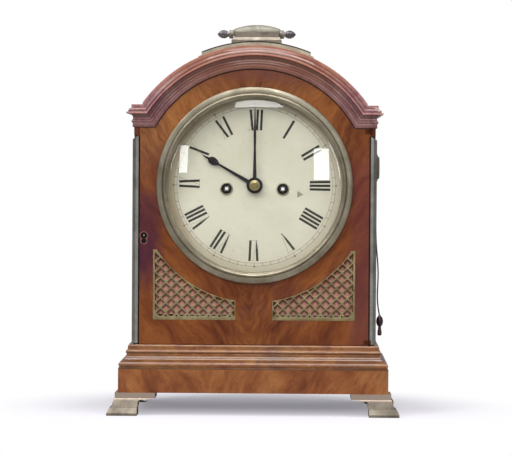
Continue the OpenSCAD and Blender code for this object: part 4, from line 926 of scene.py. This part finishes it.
crown = profile([(0, 0), (1.6, 0), (1.6, 3.9)], arc(0.9, 6.4, 2, -60, 60, 12), [(1.4, 9), (1.4, 10.2)],
                arc(5.9, 10.2, 4.5, 180, 90, 14), [(8.2, 14.7), (8.2, 16.5), (6.3, 16.7)],
                arc(3.1, 17.6, 3.1, 0, 84, 12), [(3, 21.4), (3, cornice_h), (0, cornice_h)])
u, v = crown[:, 0], crown[:, 1]
up = z_cornice + v
mitre_x = np.sqrt((arch_inner + v) ** 2 - (up - z_arch) ** 2)
start = np.arctan2(up - z_arch, mitre_x)
r = arch_inner + np.where(v > cornice_h - 0.1, arch_band, v)
ends = [(half_wood + u, back_y + 0 * u), (half_wood + u, front_y - u), (mitre_x, front_y - u)]
crown_rings = [np.stack([x, y, up], axis=1) for x, y in ends]
for t in np.linspace(0, 1, 161)[1:-1]:
    a = start + (math.pi - 2 * start) * t
    crown_rings.append(np.stack([r * np.cos(a), front_y - u, z_arch + r * np.sin(a)], axis=1))
crown_rings += [np.stack([-x, y, up], axis=1) for x, y in ends[::-1]]
finish_moulding(new_piece("cornice_moulding", *loft(crown_rings), "case", mould_wood), "cornice")

# %% Base moulding
rail_h = 16.4
foot_line = profile([(-14, 0), (13.6, 0), (13.6, 1.2), (12.2, 1.6), (12.2, 2.4)],
                    arc(10.4, 4.9, 2.9, -50, 72, 14), arc(11.6, 15.2, 6.6, 256, 180, 14), [(5, rail_h)],
                    arc(3.7, 18.4, 2.1, -58, 66, 12), [(3.6, 20.8), (3.6, 24.2)],
                    arc(1.7, 24.4, 1.9, 0, 80, 8),
                    [(0, mould_h), (-1.7, mould_h), (-1.7, rail_h), (-14, rail_h)])
u, v = foot_line[:, 0], foot_line[:, 1]
base_rings = [np.stack([half_body + u, y, z_mould + v], axis=1) for y in (back_y + 0 * u, front_y - u)]
base_rings += [ring * [-1, 1, 1] for ring in base_rings[::-1]]
back_rail = block((13.5 - half_body, back_y - 14, z_mould), (half_body - 13.5, back_y, z_mould + rail_h))
finish_moulding(new_piece("base_moulding_run", *joined([loft(base_rings), back_rail]), "case", step_wood),
                "base_moulding")

# %% [markdown]
# ## The bezel and its glass
# Both are turned shapes: a brass ring with a rounded rim, a shallow cone, a groove and an inner bead, and a
# domed glass 2 mm thick whose flat rim sits in the bezel's rebate. The dome is part of a ball, whose radius
# is the square of the rim's radius plus the square of the rise, over twice the rise.

# %% Turn the bezel and the glass
h = -front_y
ring = profile([(98.8, h - 8), (98.8, h), (107.1, h)], arc(105.9, h + 2.9, 1.2, 0, 80, 12),
               [(105.2, h + 4.4), (103.0, h + 4.7), (101.3, h + 4.8), (100.9, h + 4.6), (100.5, h + 4.1),
                (100.1, h + 4.3)], arc(98.5, h + 4.5, 1.6, 10, 168, 20),
               [(96.7, h + 2.2), (95.9, h + 2.0), (95.5, h + 1.5), (95, h - 0.6), (95, h - 1.4),
                (97.1, h - 1.4), (97.1, h - 4.2), (95.6, h - 4.2), (95.6, h - 8)])
bezel = new_piece("bezel_ring", *turned(ring, (0, dial_z), 288), "front_door", bezel_brass)
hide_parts("bezel")
sharp_by_angle(bezel, 28)

rim_r, rise = 94.6, 9
ball_r = (rim_r**2 + rise**2) / (2 * rise)
sweep = math.degrees(math.asin(rim_r / ball_r))
h = -front_y - 1.7
outer = arc(0, h + rise - ball_r, ball_r, 90 - sweep, 90, 40)
inner = arc(0, h + rise - ball_r, ball_r - 2, 90, 90 - sweep * 0.98, 40)
outer[-1, 0] = inner[0, 0] = 0.0
pane = profile(inner, [(94.0, h - 2), (96.7, h - 2), (96.7, h)], outer)
glass = new_piece("dial_glass_dome", *turned(pane, (0, dial_z), 192), "front_door", clock_glass)
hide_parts("dial_glass")
sharp_by_angle(glass, 40)
print("bezel", len(bezel.data.polygons), "glass", len(glass.data.polygons))

# %% [markdown]
# ## The dial
# The dial is a shallow painted dome. Everything on it is paint, so each line is a thin skin that follows
# the dome. A numeral is a few strokes, each given by how far it lies to the side at its outer and inner
# end. Thick strokes are straight or a wedge, thin ones are hairlines, and serifs close both ends. Letters
# from a font would be quicker, but they don't fan out towards the rim as painted ones do.

# %% The dial and a way to paint on it
PAINT = 0.09  # how far the painted lines lie in front of the dome, so that they never flicker with it


def dome_height(r):
    """How far the face stands forward at a radius: most in the middle, and it falls with the square of
    the radius."""
    return -dial_y + dial_rise * (1 - (np.asarray(r) / dial_r) ** 2)


def on_dial(x, z, lift=PAINT):
    """Points on the dome from places across and up from the dial's centre."""
    return np.stack([x, -dome_height(np.hypot(x, z)) - lift, dial_z + z], axis=-1)


def at_angle(a, across, out):
    """Points on the dome at an angle clockwise from twelve: out from the centre and to the side."""
    return on_dial(across * math.cos(a) + out * math.sin(a), out * math.cos(a) - across * math.sin(a))


def baked(thing):
    """A new mesh of an object as its modifiers or its curve make it."""
    bpy.context.view_layer.update()
    return bpy.data.meshes.new_from_object(thing.evaluated_get(bpy.context.evaluated_depsgraph_get()))


radii = np.concatenate([np.linspace(5.0, 100.4, 48), [100.8, dial_r, dial_r]])
face_h = dome_height(radii)
face_h[-2:] -= [0.15, 0.5]
back = np.linspace(dial_r, 5.0, 24)
dish = np.vstack([np.column_stack([radii, face_h]), np.column_stack([back, dome_height(back) - 2])])
dial_plate = new_piece("painted_dial", *turned(dish, (0, dial_z), 288), "case", dial_cream)
sharp_by_angle(dial_plate, 35)
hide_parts("dial")
cutters = []
for sx in (-1, 1):
    bpy.ops.mesh.primitive_cylinder_add(vertices=64, radius=bushing_r * MM, depth=0.03,
                                        location=(sx * wind_x * MM, dial_y * MM, wind_z * MM),
                                        rotation=(math.pi / 2, 0, 0))
    cutters.append(bpy.context.object)
    cut = dial_plate.modifiers.new("winding hole", "BOOLEAN")
    cut.operation, cut.object = "DIFFERENCE", cutters[-1]
cut_mesh = baked(dial_plate)
dial_plate.modifiers.clear()
dial_plate.data = cut_mesh
for cutter in cutters:
    bpy.data.objects.remove(cutter, do_unlink=True)
print("dial", len(dial_plate.data.polygons), "faces")

# %% Numerals
STROKES = {
    12: [("X", -5.0, -2.7), ("hair", 0.2, -7.0), ("I", 3.0, 2.1), ("I", 7.4, 6.5)],
    1: [("I", 1.5, 1.2)],
    2: [("I", -2.8, -2.4), ("I", 2.2, 2.1)],
    3: [("I", -4.2, -3.9), ("I", 0, 0), ("I", 4.2, 3.9)],
    4: [("I", -6.4, -6.3), ("I", -2.1, -2.1), ("I", 2.2, 2.1), ("I", 6.5, 6.3)],
    5: [("V", -2.8, 0.4), ("hair", 4.4, 0.9)],
    6: [("V", -3.4, -2.3), ("hair", 1.4, -2.0), ("I", 5.2, 4.2)],
    7: [("V", -5.4, -3.4), ("hair", -0.6, -3.0), ("I", 3.6, 2.3), ("I", 7.8, 6.8)],
    8: [("V", -7.9, -5.1), ("hair", -2.8, -4.8), ("I", 1.4, 0.0), ("I", 5.6, 4.4), ("I", 9.6, 8.5)],
    9: [("I", -0.9, -2.0), ("X", 3.8, 4.9), ("hair", 8.6, 0.6)],
    10: [("X", 0.2, 3.8), ("hair", 5.0, -1.6)],
    11: [("X", -2.0, 1.0), ("hair", 3.4, -3.6), ("I", 7.2, 6.0)],
}
TOP_R, FOOT_R = 82.6, 60.2


def stroke(angle, outer, inner, width, wedge=False, steps=8):
    """One stroke of a numeral at an hour's angle, from its side place at the outer end to the inner."""
    t = np.linspace(0, 1, steps + 1)
    across, out = outer + (inner - outer) * t, TOP_R + (FOOT_R - TOP_R) * t
    half = width / 2 * (np.minimum(1, 0.14 + 1.7 * (1 - t)) if wedge else 1 + 0 * t)
    return np.stack([at_angle(angle, across + side * half, out) for side in (-1, 1)], axis=1), grid_faces(
        steps + 1, 2)


parts, hairs = [], []
for hour, strokes in STROKES.items():
    angle = math.radians(30 * hour)
    for kind, outer, inner in strokes:
        if kind == "hair":
            hairs.append(stroke(angle, outer, inner, 0.3))
        else:
            parts.append(stroke(angle, outer, inner, 2.6, kind == "V"))
    _, outers, inners = zip(*strokes)
    for out, places, over in ((TOP_R, outers, 1.6), (FOOT_R, inners, 1.4)):
        serif = np.linspace(min(places) - over, max(places) + over, 9)
        hairs.append((np.stack([at_angle(angle, serif, out + edge) for edge in (-0.12, 0.12)], axis=1),
                      grid_faces(9, 2)))
numerals = new_piece("hour_numerals", *joined(parts), "case", numeral_ink, smooth=False)
print("strokes", len(parts), "hairlines", len(hairs))


# %% The minute track
def round_band(r0, r1, count=360):
    """A painted ring between two radii."""
    a, r = around_full(count), np.array([[r0, r1]])
    return on_dial(r * np.cos(a), r * np.sin(a)), grid_faces(count, 2, True, False)


track, dots = [round_band(84.85, 85.2), round_band(88.35, 88.7)], []
b = around_full(16).ravel()
for minute in range(60):
    a = math.radians(6 * minute)
    bar_side, bar_out = np.array([-0.24, 0.24, -0.24, 0.24]), np.array([85.1, 85.1, 88.5, 88.5])
    track.append((at_angle(a, bar_side, bar_out), [[0, 1, 3, 2]]))
    if minute % 5 == 0:
        x, z = 89.0 * math.sin(a) + 0.75 * np.cos(b), 89.0 * math.cos(a) + 0.75 * np.sin(b)
        dots.append((on_dial(x, z, 0.1), [list(range(16))]))
minute_track = new_piece("minute_track", *joined(track + hairs), "case", track_ink, smooth=False)
minute_dots = new_piece("five_minute_dots", *joined(dots), "case", numeral_ink, smooth=False)
chip = new_piece("paint_chip", on_dial(np.array([46.6, 46.6, 53.3]), np.array([-5.8, -13.2, -9.5]), 0.07),
                 [[0, 1, 2]], "case", chip_grey, smooth=False)
for painted in (numerals, minute_track, minute_dots, chip):
    if np.mean([p.normal[1] for p in painted.data.polygons]) > 0:
        painted.data.flip_normals()
print("numerals", len(numerals.data.polygons), "track", len(minute_track.data.polygons))

# %% [markdown]
# ## The hands
# Blued steel hands: the outline is flat, and its edges are rounded enough to catch the light. The minute
# hand is held by a turned brass collet and a cross pin. Winding squares show in their bushings. A filled
# curve was chosen for flat shapes, because it takes any outline with any holes and rounds the edges too.


# %% Cut flat shapes with soft edges
def flat_shape(name, outlines, body, finish, y, thick, edge):
    """A plate with holes from outlines in (x, z), its front at y, with small rounded edges."""
    curve = bpy.data.curves.new(name, "CURVE")
    curve.dimensions, curve.fill_mode = "2D", "BOTH"
    curve.extrude, curve.bevel_depth, curve.bevel_resolution = (thick / 2 - edge) * MM, edge * MM, 2
    curve.offset = -edge * MM
    for outline in outlines:
        spline = curve.splines.new("POLY")
        spline.points.add(len(outline) - 1)
        spline.points.foreach_set("co", np.column_stack(
            [np.asarray(outline) * MM, np.zeros(len(outline)), np.ones(len(outline))]).ravel())
        spline.use_cyclic_u = True
    holder = linked(name, curve)
    mesh = baked(holder)
    bpy.data.objects.remove(holder, do_unlink=True)
    co = vertices_of(mesh)
    points = np.stack([co[:, 0], (y + thick / 2) * MM - co[:, 2], co[:, 1]], axis=1) / MM
    faces = [list(p.vertices) for p in mesh.polygons]
    return sharp_by_angle(new_piece(name, points, faces, body, finish), 50)


def turn_about_dial(points, degrees):
    """An outline about the origin, turned and moved to the dial's centre: a point goes to x cos a -
    z sin a across and x sin a + z cos a up."""
    a, (x, z) = math.radians(degrees), np.asarray(points, dtype=float).T
    return np.stack([x * math.cos(a) - z * math.sin(a), dial_z + x * math.sin(a) + z * math.cos(a)], axis=1)


def hand(name, node, outline, degrees, hole, *rest):
    """A hand from its outline, with a round hole, standing in for a solid part."""
    piece = flat_shape(name, [turn_about_dial(outline, degrees), circle(0, dial_z, hole)], *rest)
    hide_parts(node)
    return piece


print("flat shapes ready")

# %% Hour hand, minute hand and collet
t = np.radians(np.linspace(16, 164, 22))
swell = np.stack([4.2 * np.sin(t) * (1 - 0.16 * np.cos(t)), 52 - 6.4 * np.cos(t)], axis=-1)
half = profile([(2.1, 8.6), (1.1, 46)], swell, [(1.0, 60.4), (0.35, 66.8)])
outline = profile(arc(0, 0, 7.0, 108, 432, 60), half, half[::-1] * [-1, 1])
hour_hand = hand("hour_hand_blued", "hour_hand", outline, 60, 4.2, "hour", blued, dial_y - 6.4, 1.0, 0.3)
half = profile([(2.1, 8.2), (1.15, 40), (1.5, 56), (0.95, 70), (0.3, 87.7)])
outline = profile(arc(0, 0, 8.8, 104, 436, 72), half, half[::-1] * [-1, 1])
minute_hand = hand("minute_hand_blued", "minute_hand", outline, 0, 3.0, "centre", blued, dial_y - 9.1, 0.9,
                   0.28)
h = -dial_y + 9.1
collet_line = profile([(2.95, h - 0.05), (5.85, h - 0.05), (5.85, h + 0.7)],
                      arc(5.35, h + 0.7, 0.5, 0, 90, 6), [(4.3, h + 1.3), (3.9, h + 1.5), (3.2, h + 2.2),
                                                          (3.0, h + 2.4), (1.65, h + 2.4), (1.65, h + 0.5)])
collet = new_piece("hand_collet", *turned(collet_line, (0, dial_z), 96), "centre", collet_brass)
sharp_by_angle(collet, 35)
pin_line = [(-4.6, 0), (-4.6, 0.45), (4.6, 0.6), (4.6, 0)]
new_piece("hand_pin", *turned_x(pin_line, dial_y - 11.0, dial_z, 20), "centre", collet_brass)
print("hands", len(hour_hand.data.polygons), len(minute_hand.data.polygons))


# %% Winding squares, their sleeves and the keyhole
def bar(name, low, high, body, finish, turn=0.0):
    """A block between two corners, turned about its own middle line along Y, with soft edges."""
    points, sides = block(low, high)
    mid, a = points.mean(axis=0), math.radians(turn)
    x, y, z = (points - mid).T
    points = np.stack([x * math.cos(a) - z * math.sin(a), y, x * math.sin(a) + z * math.cos(a)], axis=1)
    return crisp(new_piece(name, points + mid, sides, body, finish, smooth=False), 0.3)


square, h = 2.36, -dial_y + 2.6
for train, x in (("strike", -wind_x), ("going", wind_x)):
    bar(f"{train}_winding_square", (x - square, dial_y - 2.1, wind_z - square),
        (x + square, dial_y + 4, wind_z + square), f"{train}_fusee", bright_steel, turn=45)
# The black sleeves in the winding holes are painted shade: dark tubes put where the holes are only in
# shade.
sleeve = [(4.35, h - 0.5), (4.35, h - 12), (3.5, h - 12), (4.0, h - 0.5)]
for side, x in (("left", -wind_x), ("right", wind_x)):
    new_piece(f"{side}_shade_sleeve", *turned(sleeve, (x, wind_z), 64), "case", shade_black)
# A black plate behind the keyhole is painted shade: a dark sheet put where the hole is only in shade.
bar("keyhole_shade_plate", (key_x - 2.7, front_y + 3.0, key_z - 6.7), (key_x + 2.7, front_y + 3.9, key_z + 3.7),
    "front_door", shade_black)
h = -front_y
key_pin = [(0, h - 3.1), (1.1, h - 3.1), (1.1, h - 1.6), (0.8, h - 1.3), (0, h - 1.3)]
new_piece("keyhole_pin", *turned(key_pin, (key_x, key_z + 1.4), 24), "front_door", steel)
print("squares stand", square * 2, "mm wide")

# %% [markdown]
# ## Frets and silk
# The sound frets are brass plates pierced with scales. An opening is round at its foot and rises between
# two straight shoulders to a point. Openings stand in staggered rows and are cut off at the border, which
# is done by clipping each outline against straight lines. Salmon pink silk is stretched behind them.


# %% One opening, and how it is clipped
def opening_outline(pitch, row, line):
    """An opening about the origin: a scale with a rounded foot, straight shoulders and a point. The foot
    is an oval whose sine and cosine are raised to 1.25, which draws it a little towards a point."""
    wide, tall = (pitch - 1.45 * line) / 2, row - 0.72 * line
    a = np.radians(np.linspace(0, 180, 19))
    x = wide * np.sign(np.cos(a)) * np.abs(np.cos(a)) ** 1.25
    z = -tall * np.sin(a) ** 1.25 * (0.86 + 0.14 * np.sin(a))
    return np.vstack([np.stack([x, z], axis=1)[::-1], [[0, tall]]])


def clip(points, lines):
    """Keeps the part of an outline on the inner side of each line (x, z, inward x, inward z)."""
    for x0, z0, nx, nz in lines:
        if len(points) < 3:
            return points
        side = (points[:, 0] - x0) * nx + (points[:, 1] - z0) * nz
        kept = []
        for i in range(len(points)):
            j = (i + 1) % len(points)
            if side[i] >= 0:
                kept.append(points[i])
            if side[i] * side[j] < 0:
                kept.append(points[i] + (points[j] - points[i]) * side[i] / (side[i] - side[j]))
        points = np.array(kept)
    return points


def area_of(points):
    """The area inside an outline: half the sum of the cross products of neighbours."""
    x, z = points[:, 0], points[:, 1]
    return 0.5 * abs(np.dot(x, np.roll(z, -1)) - np.dot(z, np.roll(x, -1)))


def pierced(shape, centres, lines_at, least):
    """The openings at all centres, clipped, without slivers smaller than the least area."""
    clipped = [clip(shape + centre, lines_at(centre)) for centre in centres]
    return [outline for outline in clipped if len(outline) > 2 and area_of(outline) > least]


pitch, row, line_w, border = 11.7, 5.56, 2.0, 3.0
print("a scale opens", round(area_of(opening_outline(pitch, row, line_w)), 1), "square mm")

# %% Front frets
fret_low, fret_in, fret_side, fret_top, clear_r = 103.4, 20.0, 110.2, 179.9, 127.5
first_row = fret_low + border + 5


def front_window(grow):
    """The outline of a front fret's place: level and upright edges, and a round one under the bezel."""
    r = clear_r - grow
    x0, x1, z0, z1 = fret_in - grow, fret_side + grow, fret_low - grow, fret_top + grow
    top_x = min(x1, math.sqrt(r**2 - (z1 - dial_z) ** 2))
    a0, a1 = (math.degrees(math.asin(x / r)) for x in (x0, top_x))
    corner = [(x1, z1)] if top_x < x1 else []
    return np.array([(x0, z0), (x1, z0), *corner, *arc(0, dial_z, r, a1 - 90, a0 - 90, 48)])


def front_lines(centre):
    """The four straight borders and, square to the way to the dial's centre, one under the bezel."""
    toward = centre - [0, dial_z]
    toward /= np.linalg.norm(toward)
    edge = toward * (clear_r + 1.0)
    return [(fret_in + 0.9, 0, 1, 0), (fret_side - 2.2, 0, -1, 0), (0, fret_low + border, 0, 1),
            (0, fret_top - 1.5, 0, -1), (edge[0], edge[1] + dial_z, toward[0], toward[1])]


centres = [np.array([fret_in + (i + (j % 2) / 2) * pitch, first_row + j * row])
           for j in range(15) for i in range(9)]
front_openings = pierced(opening_outline(pitch, row, line_w), centres, front_lines, 1.2)
drilled = [circle(fret_in + (i + 0.5) * pitch, fret_low + border + 1.2, 1.0, 16) for i in range(7)]
for sign, side in ((-1, "left"), (1, "right")):
    plates = [shape * [sign, 1] for shape in [front_window(0), *front_openings, *drilled]]
    flat_shape(f"front_fret_{side}", plates, "front_door", fret_brass, front_y + 0.15, 1.5, 0.14)
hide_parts("front_frets")
print("front fret openings", len(front_openings))

# %% Side frets
side_y, side_z0, side_z1, side_r, larger = mid_y + 22, dial_z - 82, dial_z + 6, 32.0, 1.6


def side_window(grow):
    """The outline of a side fret's place: upright edges under a round arch."""
    r = side_r + grow
    return profile([(side_y - r, side_z0 - grow), (side_y + r, side_z0 - grow)],
                   arc(side_y, side_z1, r, 0, 180, 60))


inner_edge = side_window(-border)
edge_lines = [(*p, -(q - p)[1], (q - p)[0]) for p, q in zip(inner_edge, np.roll(inner_edge, -1, axis=0))
              if np.linalg.norm(q - p) > 1e-6]
centres = [np.array([mid_y - 20 + (i + (j % 2) / 2) * pitch * larger, dial_z - 76 + j * row * larger])
           for j in range(16) for i in range(6)]
big = opening_outline(pitch * larger, row * larger, line_w * larger)
side_openings = pierced(big, centres, lambda centre: edge_lines, 3.0)
for sign, side in ((-1, "left"), (1, "right")):
    plate = flat_shape(f"side_fret_{side}", [side_window(0), *side_openings], "case", fret_brass, 0, 1.6,
                       0.14)
    co = vertices_of(plate.data)
    outward = (half_wood - 0.4) * MM - co[:, 1]
    plate.data.vertices.foreach_set("co", np.stack([sign * outward, co[:, 0], co[:, 2]], axis=1).ravel())
    if sign < 0:
        plate.data.flip_normals()
    plate.data.update()
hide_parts("side_frets")
print("side fret openings", len(side_openings))


# %% Silks
def cloth(name, points, body, finish):
    """A stretched sheet of silk on a flat outline."""
    piece = new_piece(name, points, [list(range(len(points)))], body, finish, smooth=False)
    return piece


# The front silks carry the painted shadow of the fret bars.
shadowed_silk = silk("silk with painted lattice shadow", (244, 182, 160), (220, 152, 134), lattice=(fret_in, first_row, pitch, row))
front_silk = clip(front_window(-border - 0.05), [(0, fret_low + 5.6, 0, 1)])
side_silk = side_window(0.2)
for sign, side in ((-1, "left"), (1, "right")):
    x, z = front_silk.T
    front = np.stack([sign * x, np.full(len(x), front_y + 6.6), z], axis=1)
    first = cloth(f"front_silk_{side}", front, "front_door", shadowed_silk)
    y, z = side_silk.T
    aside = np.stack([np.full(len(y), sign * (half_wood - 2.25)), y, z], axis=1)
    second = cloth(f"side_silk_{side}", aside, "case", salmon_silk)
    if sign < 0:
        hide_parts("front_silks")
        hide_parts("side_silks")
print("silk areas", round(area_of(front_silk)), round(area_of(side_silk)), "square mm")

# %% [markdown]
# ## Handle fittings
# The two finials at the ends of the handle's pins are turned: fine rings run round a small barrel. The
# rings are a cosine on top of the barrel's sine, which is quicker than setting each ring by hand.

# %% Finials
pin_z, foot_x = z_arch + arch_inner + arch_band + 16.4, 30.7
t = np.linspace(0, 1, 90)
barrel = 4.1 * np.sin(math.pi * (0.13 + 0.87 * t)) ** 0.62
rings = 0.22 * np.cos(2 * math.pi * 6 * t)
finial_line = profile([(0, 0), (0, 3.3), (0.7, 3.3), (1.0, 2.4), (1.4, 2.4)],
                      np.stack([1.4 + 11.2 * t, 0.5 + barrel + rings], axis=1), [(13.0, 0.5), (13.1, 0)])
for sign, side in ((-1, "left"), (1, "right")):
    points, faces = turned_x(finial_line + [foot_x, 0], mid_y, pin_z, 72)
    finial = new_piece(f"ringed_finial_{side}", points * [sign, 1, 1], faces, "case", finial_brass)
    sharp_by_angle(finial, 50)
    if sign < 0:
        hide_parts("handle_finials")
print("finial", len(finial.data.polygons), "faces")

# %% [markdown]
# ## Finishes on the solid parts
# Parts whose shape is already right keep it. They get their finish and, where an edge shows, a narrow
# rounded edge.

# %% Give every remaining solid its finish
WEAR = {
    door_wood: "door_frame", side_wood: "side_boards arch_top rear_door", plinth_wood: "plinth",
    base_wood: "base_board seatboard", handle_brass: "handle_block cord_boss", knob_brass: "handle_bail",
    saddle_brass: "saddle_plate", dark_bronze: "hinge_pins", browned: "door_fittings",
    strip_brass: "corner_strips", foot_brass: "feet", bezel_brass: "rear_hinge_eyes rear_latch",
    grommet_brass: "dial_grommets", bell_metal: "bell", clock_glass: "rear_glass", gut: "gut_lines",
    movement_brass: "front_plate back_plate going_barrel strike_barrel going_fusee strike_fusee "
                    "centre_wheel third_wheel escape_wheel cannon_wheel minute_wheel hour_wheel pin_wheel "
                    "gathering_wheel warning_wheel fly back_cock pendulum",
    steel: "barrel_arbors pallets hammer rack rack_hook repeat_lever lock_bolt",
}
for finish, names in WEAR.items():
    for name in names.split():
        for held in nodes[name].material_slots:
            held.material = finish
ROUNDED = {0.7: "plinth", 0.5: "rear_door saddle_plate seatboard", 0.45: "feet",
           0.4: "door_frame side_boards arch_top handle_block", 0.3: "corner_strips", 0.25: "cord_boss",
           0.2: "front_plate back_plate"}
for width, names in ROUNDED.items():
    for name in names.split():
        crisp(nodes[name], width, 38)
print("finished solids", sum(len(v.split()) for v in WEAR.values()))

# %% [markdown]
# ## Light and ground
# A pale floor runs out to white. The key light is a soft box above the camera, and a larger one hangs
# overhead. Two small windows of light at the sides show as the bright marks in the domed glass. Fills at
# both sides and in front lift the shadows. The front one is hidden from glossy and transmitted rays, so
# that it leaves no third mark in the glass.


# %% The floor
def ground_finish():
    """White paper that fades into plain white far from the clock, and near it glows in part as painted
    light.
    """
    finish, tree, shader = new_finish("white paper with painted light")
    direct = add(tree, "LightPath").outputs["Is Camera Ray"]
    spot = apart(tree)
    far = fade(tree, hypot(tree, spot["X"], spot["Y"]), 120, 330)
    # Near the clock the floor partly glows for the camera, most at the front and lavender: painted light
    # that lifts the shadow.
    near = span(tree, spot["Y"], -0.12, 0.03, 0.62, 0.27, soft=True)
    glow = add(tree, "Emission", Color=mixed(tree, far, (0.93, 0.90, 1.0), (1, 1, 1)), Strength=1.0)
    fill(shader, Base_Color=mixed(tree, direct, (0.38, 0.37, 0.36), (0.86, 0.86, 0.89)), Roughness=0.9)
    cover(tree, shader, product(tree, maths(tree, "MAXIMUM", far, near), direct), glow)
    return finish


floor_mesh = bpy.data.meshes.new("floor")
floor_mesh.from_pydata([(-9, -9, 0), (9, -9, 0), (9, 9, 0), (-9, 9, 0)], [], [(0, 1, 2, 3)])
floor_mesh.materials.append(ground_finish())
linked("floor", floor_mesh)
print("floor", round(floor_mesh.polygons[0].area), "square metres")


# %% Lamps and surroundings
def soft_box(name, place, size, watts, aim_at=(0, -0.08, 0.22)):
    """A flat lamp at a place in metres, facing the clock."""
    data = bpy.data.lights.new(name, "AREA")
    data.shape, data.size, data.size_y, data.energy = "RECTANGLE", *size, watts
    lamp = linked(name, data)
    back = np.array(place, dtype=float) - aim_at
    back /= np.linalg.norm(back)
    side = np.cross([0, 0, 1.0], back)
    side /= np.linalg.norm(side)
    stand(lamp, side, np.cross(back, side), back, place)
    return lamp


def around(degrees, height_degrees, distance):
    """A place seen from the clock: degrees to the right of the camera's line, and up."""
    a, e = math.radians(degrees), math.radians(height_degrees)
    return (distance * math.sin(a) * math.cos(e), -0.08 - distance * math.cos(a) * math.cos(e),
            0.25 + distance * math.sin(e))


soft_box("key", around(0.4, 37, 3.0), (0.75, 1.55), 23)
front_fill = soft_box("front_fill", around(-4, 9, 3.2), (1.6, 1.2), 12)
front_fill.visible_glossy = front_fill.visible_transmission = False
soft_box("overhead", (0.05, -0.26, 1.5), (1.1, 0.6), 17, aim_at=(0.05, -0.2, 0))
soft_box("left_window", around(-22.3, 7.4, 2.0), (0.085, 0.28), 0.55)
soft_box("right_window", around(19.3, 6.2, 2.0), (0.16, 0.32), 1.3)
soft_box("left_fill", around(-46, 36, 2.6), (0.8, 0.8), 20)
soft_box("right_fill", around(62, 20, 2.6), (0.9, 1.4), 4)

world = bpy.data.worlds.new("studio")
bpy.context.scene.world = world
world.use_nodes = True
tree = world.node_tree
tree.nodes.clear()
soft = add(tree, "Background", Color=(0.93, 0.95, 1.0, 1), Strength=0.25)
white = add(tree, "Background", Color=(1, 1, 1, 1), Strength=1.0)
sky = add(tree, "MixShader", i0=add(tree, "LightPath").outputs["Is Camera Ray"], i1=soft.outputs[0],
          i2=white.outputs[0])
add(tree, "OutputWorld", Surface=sky.outputs[0])
bpy.context.scene.view_settings.view_transform = "Standard"
